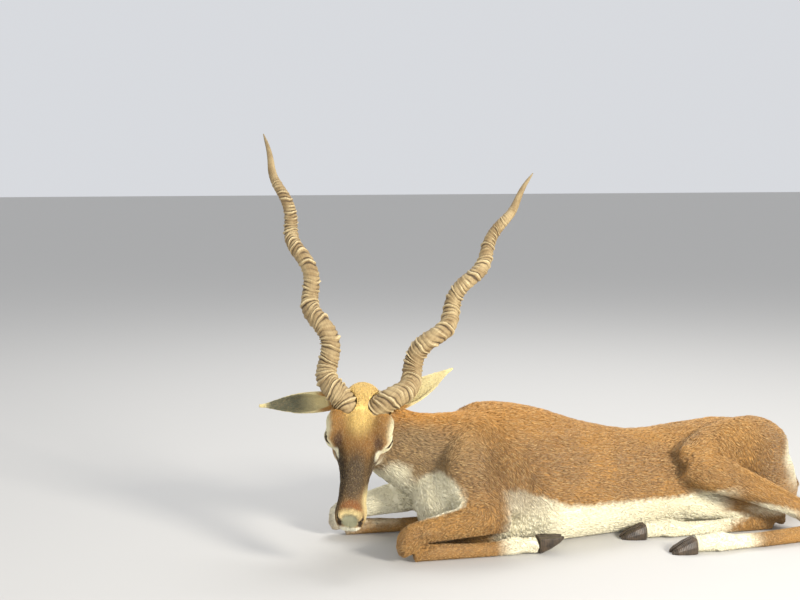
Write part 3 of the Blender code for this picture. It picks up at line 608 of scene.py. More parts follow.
def bare(points):
    """Places with no hair: nose pad, nostrils, line of the mouth, slits of the eyes, soles."""
    local = seen(points, BROW, HEAD)
    pad = np.linalg.norm((local - np.array(PAD_PLACE)) / np.array(PAD_RADII), axis=1) < 0.95
    for centre, radii in NOSTRILS:
        apart = (local * (1, 0, 1) + np.abs(local) * (0, 1, 0) - np.array(centre)) / np.array(radii)
        pad |= np.linalg.norm(apart, axis=1) < 0.9
    mouth = (np.abs(local[:, 2] - mouth_height(local[:, 0])) < 0.0012) & (local[:, 0] > MOUTH_CORNER)
    result = (pad | mouth) & (np.abs(local[:, 1]) < 0.03)
    for side in (-1, 1):
        eye = seen(points, EYES[side], eye_axes(side))
        height = BARE_SLIT_HEIGHT * np.sqrt(np.clip(1 - (eye[:, 0] / BARE_SLIT_LENGTH) ** 2, 0, 1))
        result |= (np.abs(eye[:, 2]) < height) & (eye[:, 1] > 0)
        result |= np.linalg.norm(eye, axis=1) < BARE_BALL
    shares = np.linspace(HORN_SUNK, 0.11, 40)
    near = np.flatnonzero(closeness(points, [(BROW, 0.06)]) > 0)
    for side in (-1, 1):
        far = np.linalg.norm(points[near][:, None] - horn_line(side)(shares)[None], axis=2)
        result[near] |= (far < np.interp(shares, *zip(*HORN_RADII)) + 0.0004).any(axis=1)
    return result | (points[:, 2] < BARE_SOLE)


def waves(points, size, seed):
    """Smooth waves over the surface, mostly between -1 and 1."""
    draw = np.random.default_rng(seed)
    result = np.zeros(len(points))
    for k in range(6):
        way = draw.normal(size=3)
        way *= 2 * math.pi / (size * (0.6 + 0.25 * k) * np.linalg.norm(way))
        result += np.sin(points @ way + draw.uniform(0, 6.28))
    return result / 3.0


def over_skin(tree, points, heights):
    """The points moved to their heights over the skin under them."""
    result = np.empty_like(points)
    for index, (point, height) in enumerate(zip(points.tolist(), heights.tolist())):
        place, normal, _, _ = tree.find_nearest(point)
        result[index] = place + normal * height
    return result


# How the tufts vary: ranges of length, width and lift, spread of the curl, swirls in degrees
LENGTHS, WIDTHS, LIFTS = (0.72, 1.22), (0.7, 1.3), (0.5, 1.5)
CURL = 0.09
SWIRLS = (8, 5, 6)
# A tuft's shape: share of its length at the bend, shares of its rise at bend and tip, then shares
# of its width for its thickness and for the depth of its root
BEND, BEND_RISE, TIP_RISE = 0.45, 0.56, 0.9
THICKNESS, ROOT_DEPTH = 0.45, 0.35
TUFT_FLOOR = 0.0003


def build_coat(skin, look):
    """Tufts over the whole hide, each a thin spindle lying along the coat."""
    draw = np.random.default_rng(SEED)
    points = coordinates(skin)
    corners = face_corners(skin)
    flat = unwrapped(skin)
    trio = points[corners]
    middles = trio.mean(axis=1)
    areas = np.linalg.norm(np.cross(trio[:, 1] - trio[:, 0], trio[:, 2] - trio[:, 0]), axis=1) / 2
    spacing = coat_at(middles)[1][:, 3] * COAT_THINNING
    wanted = areas / spacing ** 2 * ~bare(middles)
    count = np.floor(wanted + draw.uniform(size=len(wanted))).astype(int)
    face = np.repeat(np.arange(len(count)), count)
    share = draw.uniform(size=(len(face), 2))
    over = share.sum(axis=1) > 1
    share[over] = 1 - share[over]
    share = np.column_stack((1 - share.sum(axis=1), share))
    roots = np.einsum("ij,ijk->ik", share, trio[face])
    normals = unit(np.einsum("ij,ijk->ik", share, point_normals(skin)[corners[face]]))
    places = np.einsum("ij,ijk->ik", share, flat[face])
    keep = ~bare(roots)
    face, roots, normals, places = face[keep], roots[keep], normals[keep], places[keep]
    lie, measures, piece = coat_at(roots)
    length, width, lift = measures[:, 0], measures[:, 1], np.radians(measures[:, 2])
    size = COAT_THINNING ** 0.5
    inside = inner_ear(roots, normals)
    along = unit(lie - normals * np.sum(lie * normals, axis=1, keepdims=True))
    across = np.cross(normals, along)
    swirl = SWIRLS[0] * waves(roots, 0.05, 3) + SWIRLS[1] * waves(roots, 0.012, 4)
    swirl = np.radians(swirl + draw.normal(0, SWIRLS[2], len(roots)))
    ahead = along * np.cos(swirl)[:, None] + across * np.sin(swirl)[:, None]
    wide = np.cross(normals, ahead)
    length = length * size * draw.uniform(*LENGTHS, len(roots)) * (1 + 0.1 * waves(roots, 0.02, 5))
    width = width * size * draw.uniform(*WIDTHS, len(roots))
    lift = lift * draw.uniform(*LIFTS, len(roots)) * (1 + 0.3 * waves(roots, 0.03, 6))
    curl = draw.normal(0, CURL, len(roots))
    tree = BVHTree.FromPolygons(points.tolist(), corners.tolist(), all_triangles=True)
    rise = length * np.sin(lift)
    bend = roots + ahead * (BEND * length)[:, None] + normals * (BEND_RISE * rise)[:, None]
    bend = over_skin(tree, bend, BEND_RISE * rise)
    tip = roots + ahead * length[:, None] + wide * (length * curl)[:, None]
    tip = over_skin(tree, tip + normals * (TIP_RISE * rise)[:, None], TIP_RISE * rise)
    root = roots - normals * (ROOT_DEPTH * width)[:, None]
    half = wide * (width / 2)[:, None]
    ridge = bend + normals * (THICKNESS * width)[:, None]
    mesh_points = np.stack((root, bend - half, bend + half, ridge, tip), axis=1)
    mesh_points[:, :, 2] = np.maximum(mesh_points[:, :, 2], TUFT_FLOOR)
    chance = draw.uniform(size=(len(roots), 2))
    order = np.lexsort((roots[:, 0], piece))
    for name in sorted(set(piece)):
        members = order[piece[order] == name]
        parts = max(1, math.ceil(len(members) / PIECE_TUFTS))
        for index, chosen in enumerate(np.array_split(members, parts)):
            title = "coat_" + name + ("_" + str(index + 1) if parts > 1 else "")
            build_tufts(title, look, mesh_points[chosen], places[chosen], chance[chosen], inside[chosen])


TUFT_FACES = np.array(((0, 3, 1), (0, 2, 3), (0, 1, 2), (1, 3, 4), (3, 2, 4), (2, 1, 4)))
TUFT_PATCH = np.array(((0.0, -0.5), (-0.4, 0.0), (0.4, 0.0), (0.0, 0.1), (0.0, 0.5)))
TUFT_RUN = np.array((0.0, 0.45, 0.45, 0.5, 1.0))


def build_tufts(name, look, points, places, chance, inside):
    """One mesh of many tufts, with their patches and their chance values."""
    count = len(points)
    mesh = bpy.data.meshes.new(name)
    corners = (TUFT_FACES[None] + 5 * np.arange(count)[:, None, None]).reshape(-1)
    mesh.vertices.add(5 * count)
    mesh.vertices.foreach_set("co", points.astype(np.float32).ravel())
    mesh.loops.add(len(corners))
    mesh.loops.foreach_set("vertex_index", corners.astype(np.int32))
    mesh.polygons.add(len(corners) // 3)
    mesh.polygons.foreach_set("loop_start", np.arange(0, len(corners), 3, dtype=np.int32))
    mesh.update(calc_edges=True)
    layer = mesh.uv_layers.new(name="OFBake")
    corner_places = (places[:, None, None, :] + PATCH_WIDTH * TUFT_PATCH[TUFT_FACES][None]).reshape(-1, 2)
    layer.data.foreach_set("uv", np.clip(corner_places, 0, 1).astype(np.float32).ravel())
    strand = np.empty((count, 5, 3), np.float32)
    strand[:, :, 0] = chance[:, 0, None]
    strand[:, :, 1] = TUFT_RUN[None]
    strand[:, :, 2] = chance[:, 1, None]
    keep_note(mesh, "strand", strand)
    keep_note(mesh, "inner", np.repeat(inside, 5))
    dressed(placed(name, mesh), look, "coat")


# Horns, eyes and hooves

def horn_line(side):
    """The centre line of a horn as a function of shares of its length."""
    root = on_head(HORN_ROOT[0], side * HORN_ROOT[1], HORN_ROOT[2])
    splay = math.radians(HORN_SPLAY[side])
    lift = math.radians(HORN_LIFT[side])
    axis = head_direction(-math.cos(splay) * math.cos(lift), side * math.sin(splay),
                          math.cos(splay) * math.sin(lift))
    out = head_direction(math.sin(splay), side * math.cos(splay), 0)
    out = (out - axis * out.dot(axis)).normalized()
    front = head_direction(0, 0, 1)
    front = (front - axis * front.dot(axis) - out * front.dot(out)).normalized()
    root, axis, out, front = (np.array(value) for value in (root, axis, out, front))

    def line(share):
        grown = np.clip(share, 0, 1)
        left = np.maximum(0, 1 - share)
        phase = math.radians(HORN_PHASE) + 2 * math.pi * HORN_TURNS * share
        wave = HORN_WAVE * left ** HORN_WAVE_FALL * np.minimum(1, left / HORN_TIP_SHARE) ** 0.3
        bow = HORN_BOW[side] * np.sin(math.pi * np.minimum(1, grown * 1.15))
        return (root + axis * (HORN_SPAN * share)[:, None] + out * (wave * np.sin(phase) + bow)[:, None]
                + front * (wave * np.cos(phase))[:, None])

    return line


def ring_share(count):
    """The share of a horn's length at which so many rings lie below."""
    part = count / HORN_RINGS
    eased = part - 0.034 * np.sin(2 * math.pi * part)
    return HORN_RING_START + (HORN_RING_END - HORN_RING_START) * eased


def ring_height(count):
    """Height of a ring's profile: a sharp crest, a groove under it and a low wrinkle between."""
    part = count % 1.0
    crest = np.exp(-(np.abs(part - 0.39) / 0.12) ** 1.35)
    wrinkle = 0.32 * np.exp(-((part - 0.82) / 0.09) ** 2)
    groove = 0.75 * np.exp(-((part - 0.6) / 0.07) ** 2) + 0.55 * np.exp(-((part - 0.1) / 0.11) ** 2)
    return 1.15 * crest + wrinkle - groove


def blotches(turn, share, round_size, shift, along_size):
    """Smooth noise round and along a horn."""
    return np.array([
        noise.noise(Vector((math.cos(t) * round_size + shift, math.sin(t) * round_size, u * along_size)))
        for t, u in zip(turn, share)
    ])


def build_horn(name, side, look):
    """One spiral horn with uneven collars, its mesh running along the rings."""
    line = horn_line(side)
    counts = list(ROOT_COUNTS) + [ring + part for ring in range(HORN_RINGS) for part in RING_PARTS]
    counts = np.concatenate((counts, HORN_RINGS + np.linspace(0, 1, HORN_TIP_ROWS)[1:]))
    shares = np.where(counts <= HORN_RINGS, ring_share(np.minimum(counts, HORN_RINGS)),
                      HORN_RING_END + (1 - HORN_RING_END) * (counts - HORN_RINGS))
    shares[:len(ROOT_SHARES)] = ROOT_SHARES
    side_vector = np.array(HEAD.col[1]) * side
    notes = {}

    def place(turn, row):
        share = shares[row]
        wander = blotches(turn, share, 0.8, side * 3.1, 34)
        wrinkle = blotches(turn, share, 3.5, side * 5.7, 90)
        fade = np.clip((share + 0.01) / 0.02, 0, 1) * np.clip((HORN_RING_END + 0.03 - share) / 0.16, 0, 1)
        tilt = (0.01 * np.sin(turn + 23 * share * side) + 0.007 * wander + 0.0014 * wrinkle) * fade
        at = np.clip(share + tilt * np.clip((share - HORN_SUNK) / 0.05, 0, 1), HORN_SUNK, 1)
        along = unit(line(at + 0.004) - line(at - 0.004))
        out = unit(side_vector - along * (along @ side_vector)[:, None])
        up = np.cross(along, out)
        height = ring_height(counts[row])
        ring_size = 0.85 + 0.35 * np.sin(np.floor(counts[row]) * 2.4 + side)
        strength = np.clip(ring_size + 0.3 * np.sin(turn * 2 + 31 * share) + 0.9 * wander, 0.4, 1.6) * fade
        plain = np.interp(at, *zip(*HORN_RADII))
        radius = plain * (1 + HORN_SWELL * height * strength)
        radius = radius * (1 + 0.018 * np.sin(2 * turn + 9 * share) + 0.03 * wander + 0.014 * wrinkle)
        notes["relief"] = np.column_stack((height * strength, share, wander))
        notes["grain"] = np.column_stack((0.016 * np.cos(turn), 0.016 * np.sin(turn), 0.045 * share))
        return line(at) + out * (radius * np.cos(turn))[:, None] + up * (radius * np.sin(turn))[:, None]

    item = wrapped(name.replace("horn", "sheath"), HORN_COLUMNS, len(counts), place)
    for title, values in notes.items():
        keep_note(item.data, title, values)
    sealed(item)
    dressed(item, look, "horn", name)


def build_eye(name, side, look):
    """A wet, dark ball behind the lids."""
    low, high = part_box(name)
    bpy.ops.mesh.primitive_uv_sphere_add(segments=64, ring_count=32, radius=(high.x - low.x) / 2,
                                         location=EYES[side])
    item = bpy.context.object
    item.name = item.data.name = name.replace("eye", "eyeball")
    item.rotation_euler = eye_axes(side).to_euler()
    bpy.ops.object.transform_apply(location=True, rotation=True, scale=True)
    dressed(item, look, "eye", name)


def build_hoof(node, look):
    """A claw with softened edges."""
    item = copied(node, node.replace("hoof", "claw"))
    in_edit_mode(item, lambda: bpy.ops.mesh.dissolve_limited(angle_limit=math.radians(4)))
    modified(item, "BEVEL", width=0.0011, segments=2, limit_method="ANGLE", angle_limit=math.radians(35))
    modified(item, "REMESH", mode="VOXEL", voxel_size=0.0009)
    modified(item, "SMOOTH", factor=0.5, iterations=4)
    dressed(item, look, "hoof", node)


# Shader nodes

class Sheet:
    """A tree of shader nodes and its end node, with short ways to add and join them."""

    def __init__(self, tree, end):
        self.tree, self.end = tree, end

    def add(self, kind, inputs=None, **values):
        made = self.tree.nodes.new("ShaderNode" + kind)
        for name, value in values.items():
            setattr(made, name, value)
        for name, value in (inputs or {}).items():
            if isinstance(value, bpy.types.NodeSocket):
                self.tree.links.new(value, made.inputs[name])
            else:
                made.inputs[name].default_value = value
        return made

    def feed(self, name, value):
        self.tree.links.new(value, self.end.inputs[name])

    def place(self):
        return self.add("TexCoord").outputs["Object"]

    def note(self, name, output="Vector"):
        return self.add("Attribute", attribute_name=name).outputs[output]

    def parts(self, vector):
        return self.add("SeparateXYZ", {0: vector}).outputs

    def math(self, operation, a, b=0.0):
        return self.add("Math", {0: a, 1: b}, operation=operation).outputs[0]

    def times(self, a, b):
        return self.math("MULTIPLY", a, b)

    def vector(self, operation, a, b):
        return self.add("VectorMath", {0: a, 1: b}, operation=operation).outputs[0]

    def scaled(self, vector, size):
        return self.add("VectorMath", {0: vector, "Scale": size}, operation="SCALE").outputs[0]

    def turned(self, place, centre, turn):
        made = self.add("Mapping", {"Vector": place, "Location": tuple(centre), "Rotation": tuple(turn)},
                        vector_type="TEXTURE")
        return made.outputs[0]

    def spread(self, value, low, high, to_low=0.0, to_high=1.0):
        made = self.add("MapRange", {0: value, 1: low, 2: high, 3: to_low, 4: to_high},
                        interpolation_type="SMOOTHSTEP")
        return made.outputs[0]

    def blend(self, factor, a, b):
        return self.add("Mix", {0: factor, 6: a, 7: b}, data_type="RGBA").outputs[2]

    def noise(self, place, scale, detail=3.0):
        made = self.add("TexNoise", {"Vector": place, "Scale": scale, "Detail": detail, "Roughness": 0.55})
        return made.outputs["Fac"]


def colour(red, green, blue):
    """A colour given as seen on a screen, from 0 to 255."""
    def linear(value):
        value /= 255
        return value / 12.92 if value <= 0.04045 else ((value + 0.055) / 1.055) ** 2.4
    return (linear(red), linear(green), linear(blue), 1.0)


TAN = colour(184, 138, 76)
ORANGE = colour(198, 140, 58)
FLANK = colour(166, 126, 76)
SHOULDER = colour(136, 102, 62)
GREY_BROWN = colour(158, 132, 94)
WHITE = colour(248, 241, 212)
CREAM = colour(240, 224, 168)
RING_WHITE = colour(236, 228, 190)
NOSE_CREAM = colour(218, 198, 142)
GOLD = colour(240, 206, 124)
RUST = colour(154, 108, 50)
DARK = colour(44, 35, 25)
MUZZLE = colour(78, 65, 48)
RED_BROWN = colour(156, 98, 50)
NOSE_GREY = colour(128, 126, 100)
LIP = colour(224, 219, 196)
INNER_CORNER = colour(74, 42, 28)
# Inside of the ears: grey skin, dark enough to serve as painted shade in the right ear
EAR_SHADE = colour(96, 100, 80)

# Marks painted one over another: 0 on the body, 1 on the head, 2 on both sides of the head, with
# centre and radii in millimetres, softness, colour and strength
MARKS = (
    (0, (140, 70, 270), (600, 130, 95), 0.75, ORANGE, 0.6),
    (0, (-145, 60, 218), (115, 70, 50), 0.4, ORANGE, 0.95),
    (0, (-165, -25, 152), (70, 60, 55), 0.4, GREY_BROWN, 0.9),
    (0, (-85, -60, 140), (45, 60, 55), 0.5, GREY_BROWN, 0.65),
    (0, (-10, -110, 125), (85, 50, 55), 0.7, SHOULDER, 0.6),
    (0, (-188, -45, 118), (36, 55, 28), 0.25, WHITE, 1.0),
    (0, (-117, -55, 98), (46, 48, 30), 0.25, WHITE, 1.0),
    (0, (-120, -20, 60), (90, 60, 48), 0.22, WHITE, 1.0),
    (0, (-180, 35, 70), (85, 70, 58), 0.22, WHITE, 1.0),
    (0, (-130, -84, 82), (78, 20, 17), 0.3, WHITE, 1.0),
    (0, (-245, 80, 50), (36, 36, 45), 0.6, LIP, 0.9),
    (0, (360, -20, 45), (55, 100, 45), 0.25, WHITE, 1.0),
    (0, (545, 0, 85), (60, 75, 60), 0.22, WHITE, 1.0),
    (0, (600, 56, 80), (55, 16, 40), 0.3, TAN, 1.0),
    (0, (430, -165, 40), (70, 40, 18), 0.3, WHITE, 0.9),
    (0, (350, -112, 14), (130, 22, 20), 0.2, WHITE, 1.0),
    (1, (45, 0, -5), (50, 40, 36), 0.4, RUST, 0.85),
    (1, (2, 0, 2), (34, 21, 30), 0.6, GOLD, 1.0),
    (1, (-45, 0, 0), (36, 34, 40), 0.5, GOLD, 0.95),
    (1, (108, 0, -5), (42, 26, 26), 0.45, MUZZLE, 0.95),
    (2, (98, 28, -36), (52, 13, 28), 0.4, DARK, 0.88),
    # Dark fur on the right side of the muzzle, made wider and darker there as painted shade on that side
    (1, (112, -26, -26), (62, 15, 26), 0.45, DARK, 0.9),
    (1, (142, 22, -32), (28, 9, 18), 0.45, CREAM, 0.75),
    (1, (153, 0, -10), (8, 19, 12), 0.5, RED_BROWN, 0.9),
    (1, (168, 0, -18), (9.5, 20, 15), 0.4, NOSE_CREAM, 0.95),
    (1, (80, 0, -85), (105, 40, 26), 0.3, WHITE, 0.95),
    (1, (160, 0, -44), (32, 26, 11), 0.25, LIP, 1.0),
    (1, (184, 0, -38), (12, 20, 13), 0.2, LIP, 1.0),
    (2, (18, 56, -24), (27, 17, 24), 0.35, RING_WHITE, 0.95),
    (2, (46, 47, -30), (14, 10, 13), 0.35, RING_WHITE, 0.95),
    (2, (58, 34, -31), (10, 9, 8), 0.4, WHITE, 0.95),
    (2, (41, 32, -16), (13, 8, 9), 0.55, INNER_CORNER, 0.8),
)
# Nostrils, for both sides, and nose pad: centre and radii
NOSTRILS = (((0.1716, 0.0182, -0.0192), (0.0082, 0.006, 0.004)),
            ((0.1775, 0.0164, -0.0262), (0.0066, 0.0042, 0.0052)))
PAD_PLACE = (0.1748, 0.0, -0.021)
PAD_RADII = (0.0102, 0.015, 0.0115)
# Line between tan and white: place along the trunk and height at its front and back, how it
# leans round the side, then how far from front to back the white reaches, with soft ends
LINE_FRONT, LINE_BACK = (-0.02, 0.108), (0.11, 0.072)
LINE_MIDDLE, LINE_LEAN, LINE_SOFTNESS = 0.12, 0.35, 0.006
WHITE_FRONT, WHITE_BACK = (-0.05, -0.02), (0.395, 0.345)
# Raggedness of the marks: scale of the noise, and how far it moves them on body and head
RAGGED_SCALE, RAGGED_STEPS = 110.0, (0.014, 0.005)
LID_PAINT = (0.014, 0.012, 0.0034)
EAR_LEAF = (0.062, 0.034, 0.034)
# How strongly each ear's inside is darkened: its grey skin, and on the right ear painted shade as well
EAR_SKIN_AND_SHADE = {-1: 0.95, 1: 0.22}


def patch(sheet, place, centre, radii, soft):
    """A soft-edged patch: 1 inside the ellipsoid, 0 outside it."""
    local = sheet.add("Mapping", {"Vector": place, "Location": centre, "Scale": radii},
                      vector_type="TEXTURE").outputs[0]
    far = sheet.add("VectorMath", {0: local}, operation="LENGTH").outputs["Value"]
    return sheet.spread(far, 1 - soft, 1 + soft, 1.0, 0.0)


def markings_and_shade_group():
    """The hide's colours and bare places as functions of the place on the body, with painted shade on the
    right of the muzzle, in the nostrils and in the right ear.
    """
    tree = bpy.data.node_groups.new("hide_markings", "ShaderNodeTree")
    for way, name, kind in (
        ("INPUT", "Place", "Vector"), ("INPUT", "Inner", "Float"),
        ("OUTPUT", "Color", "Color"), ("OUTPUT", "Bare", "Float"), ("OUTPUT", "Paleness", "Float"),
    ):
        tree.interface.new_socket(name, in_out=way, socket_type="NodeSocket" + kind)
    sheet = Sheet(tree, tree.nodes.new("NodeGroupOutput"))
    given = tree.nodes.new("NodeGroupInput").outputs
    raw = sheet.vector("SUBTRACT", given["Place"], tuple(SHIFT))
    ragged = sheet.add("TexNoise", {"Vector": raw, "Scale": RAGGED_SCALE, "Detail": 3.0}).outputs["Color"]
    off = sheet.vector("SUBTRACT", ragged, (0.5, 0.5, 0.5))
    body, near = (sheet.vector("ADD", raw, sheet.scaled(off, step)) for step in RAGGED_STEPS)
    head = sheet.turned(near, BROW_PLACE, HEAD.to_euler())
    x, y, z = sheet.parts(head)
    mirrored = sheet.add("CombineXYZ", {0: x, 1: sheet.math("ABSOLUTE", y), 2: z}).outputs[0]
    x, y, z = sheet.parts(body)
    line = sheet.spread(x, LINE_FRONT[0], LINE_BACK[0], LINE_FRONT[1], LINE_BACK[1])
    aside = sheet.math("SUBTRACT", LINE_MIDDLE, sheet.math("ABSOLUTE", y))
    over = sheet.math("SUBTRACT", sheet.math("ADD", z, sheet.times(aside, LINE_LEAN)), line)
    belly = sheet.spread(over, LINE_SOFTNESS, -LINE_SOFTNESS)
    reach = sheet.times(sheet.spread(x, *WHITE_FRONT), sheet.spread(x, *WHITE_BACK))
    result = sheet.blend(sheet.spread(sheet.noise(body, 11.0), 0.35, 0.65), FLANK, TAN)
    result = sheet.blend(sheet.times(belly, reach), result, WHITE)
    for where, centre, radii, soft, tint, strength in MARKS:
        mask = patch(sheet, (body, head, mirrored)[where], *metres(centre, radii), soft)
        result = sheet.blend(sheet.times(mask, strength), result, tint)
    result = ear_colours_and_shade(sheet, head, result, given["Inner"])
    pad = patch(sheet, head, PAD_PLACE, PAD_RADII, 0.28)
    result = sheet.blend(pad, result, NOSE_GREY)
    # Painted shade in the nostrils: their openings darkened
    for centre, radii in NOSTRILS:
        result = sheet.blend(patch(sheet, mirrored, centre, radii, 0.25), result, DARK)
    to_head = HEAD.transposed()
    turned = sheet.turned(mirrored, to_head @ (EYES[1] - BROW), (to_head @ eye_axes(1)).to_euler())
    result = sheet.blend(patch(sheet, turned, (0, 0.015, 0), LID_PAINT, 0.3), result, DARK)
    pale = sheet.add("SeparateColor", {0: result}).outputs[2]
    sheet.feed("Color", result)
    sheet.feed("Bare", pad)
    sheet.feed("Paleness", sheet.spread(pale, 0.1, 0.45))
    return tree


def ear_colours_and_shade(sheet, head, result, inner):
    """Cream ears, thinly haired inside with their grey skin showing, and painted shade deepening the inside
    of the right ear.
    """
    for side in (-1, 1):
        root, tip = (Vector(point) for point in ear_line(side))
        local = sheet.turned(head, root.lerp(tip, 0.56), (tip - root).to_track_quat("X", "Z").to_euler())
        leaf = patch(sheet, local, (0, 0, 0), EAR_LEAF, 0.1)
        result = sheet.blend(leaf, result, CREAM)
        along = sheet.parts(local)[0]
        within = sheet.times(sheet.spread(along, 0.05, 0.034), sheet.spread(along, -0.05, 0.0))
        shade = sheet.times(sheet.times(inner, leaf), within)
        result = sheet.blend(sheet.times(shade, EAR_SKIN_AND_SHADE[side]), result, EAR_SHADE)
    return result


def new_material(name, **sockets):
    """A material with a Principled shader, and its sheet."""
    made = bpy.data.materials.new(name)
    made.use_nodes = True
    shader = made.node_tree.nodes["Principled BSDF"]
    for socket, value in sockets.items():
        shader.inputs[socket.replace("_", " ")].default_value = value
    return made, Sheet(made.node_tree, shader)


def bumped(sheet, height, distance):
    """Feed a height to the shader's normal."""
    bump = sheet.add("Bump", {"Height": height, "Distance": distance, "Strength": 1.0})
    sheet.feed("Normal", bump.outputs[0])


def marked(sheet, group, place):
    """The markings, with their painted shade, at a place, for the skin and for the coat."""
    inner = sheet.note("inner", "Fac")
    return sheet.add("Group", {"Place": place, "Inner": inner}, node_tree=group).outputs


def hide_material(group):
    """The skin under the coat: the same markings, darkened between the hairs as painted shade deep in the
    coat.
    """
    made, sheet = new_material("hide", Roughness=0.75, Specular_IOR_Level=0.25)
    place = sheet.place()
    marks = marked(sheet, group, place)
    grain = sheet.noise(place, 900.0, 2.0)
    # Painted shade deep in the coat: the skin between the hairs darkened in streaks, less on pale hair, none
    # on bare skin
    shade_streak = sheet.spread(grain, 0.3, 0.7, 0.05, 0.28)
    depth = sheet.times(shade_streak, sheet.math("SUBTRACT", 1.15, marks["Paleness"]))
    depth = sheet.times(depth, sheet.math("SUBTRACT", 1.0, marks["Bare"]))
    sheet.feed("Base Color", sheet.blend(depth, marks["Color"], colour(84, 60, 36)))
    sheet.feed("Roughness", sheet.spread(marks["Bare"], 0.0, 1.0, 0.75, 0.42))
    pebble = sheet.add("TexVoronoi", {"Vector": place, "Scale": 850.0}).outputs["Distance"]
    pebble = sheet.times(sheet.times(pebble, -1.2), marks["Bare"])
    bumped(sheet, sheet.math("ADD", sheet.times(grain, 0.5), pebble), 0.0004)
    return made


def coat_material(group):
    """The hair: the markings with a tone of its own for each tuft, and painted shade towards each tuft's
    root.
    """
    made, sheet = new_material("hair", Roughness=0.55, Specular_IOR_Level=0.3, Sheen_Weight=0.1,
                               Sheen_Roughness=0.5)
    marks = marked(sheet, group, sheet.place())
    chance, run, other = sheet.parts(sheet.note("strand"))
    ticking_and_root_shade = sheet.math("SUBTRACT", 1.1, marks["Paleness"])
    tint = marks["Color"]
    # Darker and paler tufts at random as ticking, and each tuft darker towards its root as painted shade,
    # all less on pale hair
    for value, start, end, most, tone in (
        (chance, 0.5, 0.0, 0.36, colour(88, 64, 40)),
        (other, 0.6, 1.0, 0.34, colour(232, 200, 140)),
        (run, 0.75, 0.0, 0.14, colour(70, 50, 32)),
    ):
        tint = sheet.blend(sheet.times(sheet.spread(value, start, end, 0.0, most), ticking_and_root_shade), tint, tone)
    sheet.feed("Base Color", tint)
    return made


def horn_material():
    """Dry horn: beige, with painted highlights on the crests and painted shade in the grooves, a greyer tip
    and fine fibres.
    """
    made, sheet = new_material("horn_sheath", Roughness=0.62, Specular_IOR_Level=0.35)
    relief, share, _ = sheet.parts(sheet.note("relief"))
    tone = sheet.noise(sheet.place(), 40.0, 4.0)
    crack = sheet.noise(sheet.note("grain"), 900.0, 4.0)
    tint = sheet.blend(sheet.spread(tone, 0.35, 0.68), colour(146, 122, 84), colour(180, 158, 116))
    # Painted highlight on the ring crests and painted shade in the grooves, both from the relief; then a
    # greyer tip and dark fibres
    for value, start, end, most, tone_over in (
        (relief, 0.25, 1.1, 0.7, colour(218, 200, 156)),
        (relief, 0.02, -0.55, 0.92, colour(62, 46, 28)),
        (share, 0.86, 1.0, 0.45, colour(150, 136, 108)),
        (crack, 0.42, 0.72, 0.38, colour(92, 72, 46)),
    ):
        tint = sheet.blend(sheet.spread(value, start, end, 0.0, most), tint, tone_over)
    sheet.feed("Base Color", tint)
    bumped(sheet, sheet.math("ADD", crack, sheet.times(tone, 0.4)), 0.0008)
    return made


def eye_material():
    """Wet dark brown eye."""
    made, sheet = new_material("eye_wet", Roughness=0.06, Coat_Weight=0.6, Coat_Roughness=0.03)
    tone = sheet.noise(sheet.place(), 260.0)
    sheet.feed("Base Color", sheet.blend(tone, colour(20, 12, 8), colour(52, 32, 20)))
    return made


def hoof_material():
    """Dark horn with growth lines."""
    made, sheet = new_material("hoof_horn", Roughness=0.42)
    place = sheet.place()
    lines = sheet.add("TexWave", {"Vector": place, "Scale": 120.0, "Distortion": 2.0, "Detail": 2.0})
    lines = lines.outputs["Fac"]
    tone = sheet.noise(place, 90.0)
    tint = sheet.blend(sheet.spread(tone, 0.35, 0.7), colour(38, 31, 26), colour(78, 64, 50))
    sheet.feed("Base Color", sheet.blend(sheet.spread(lines, 0.2, 0.9, 0.0, 0.35), tint, colour(98, 82, 62)))
    bumped(sheet, sheet.math("ADD", lines, tone), 0.0003)
    return made


# Stage, light and camera

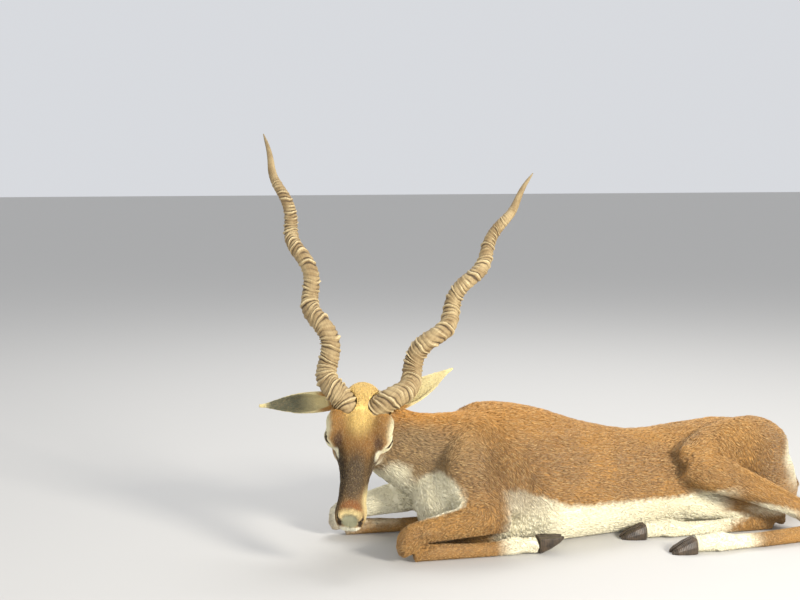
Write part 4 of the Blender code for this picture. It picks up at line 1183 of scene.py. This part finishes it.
def build_stage():
    """Pale floor, soft lights and pale surroundings."""
    bpy.ops.mesh.primitive_plane_add(size=60, location=(0, 0, 0))
    floor = bpy.context.object
    floor.name = "floor"
    look, _ = new_material("pale_floor", Roughness=0.85, Specular_IOR_Level=0.2,
                           Base_Color=(0.56, 0.55, 0.53, 1.0))
    floor.data.materials.append(look)
    world = bpy.data.worlds.new("studio")
    world.use_nodes = True
    sky = world.node_tree.nodes["Background"].inputs
    sky["Color"].default_value, sky["Strength"].default_value = (0.86, 0.88, 0.92, 1.0), 0.8
    bpy.context.scene.world = world
    aim = on_body((0.0, 0.0, 0.15))
    for name, place, size, power, tint in (
        ("key", (1.1, -2.4, 1.25), 0.6, 100.0, (1.0, 0.95, 0.86)),
        ("fill", (-1.7, -2.4, 0.8), 2.0, 30.0, (1.0, 1.0, 1.0)),
        ("rim", (0.8, 1.2, 2.6), 1.4, 40.0, (1.0, 1.0, 1.0)),
    ):
        data = bpy.data.lights.new(name, "AREA")
        data.energy, data.color, data.size = power, tint, size
        lamp = placed(name, data)
        lamp.location = on_body(place)
        lamp.rotation_euler = (aim - lamp.location).to_track_quat("-Z", "Y").to_euler()


def build_camera():
    """The camera at the photograph's place and angle."""
    heading = math.radians(CAMERA_HEADING)
    fall_angle = math.radians(CAMERA_FALL)
    right = Vector((math.cos(heading), -math.sin(heading), 0))
    ahead = Vector((math.sin(heading), math.cos(heading), 0))
    data = bpy.data.cameras.new("camera")
    data.sensor_width = SENSOR_WIDTH
    data.lens = SENSOR_WIDTH * FOCAL_PIXELS / FRAME_PIXELS
    camera = placed("camera", data)
    camera.location = on_body((0, 0, CAMERA_HEIGHT)) - right * CAMERA_SIDE - ahead * CAMERA_BACK
    camera.location.z = CAMERA_HEIGHT
    view = ahead * math.cos(fall_angle) - Vector((0, 0, math.sin(fall_angle)))
    camera.rotation_euler = view.to_track_quat("-Z", "Y").to_euler()
    bpy.context.scene.camera = camera


bpy.context.scene.view_settings.view_transform = "Standard"
markings = markings_and_shade_group()
build_stage()
build_camera()
build_coat(build_skin(hide_material(markings)), coat_material(markings))
horn_look = horn_material()
eye_look = eye_material()
hoof_look = hoof_material()
for side, node in ((-1, "horn_r"), (1, "horn_l")):
    build_horn(node, side, horn_look)
for side, node in EYE_NODES.items():
    build_eye(node, side, eye_look)
for node in sorted(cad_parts):
    if "hoof" in node:
        build_hoof(node, hoof_look)
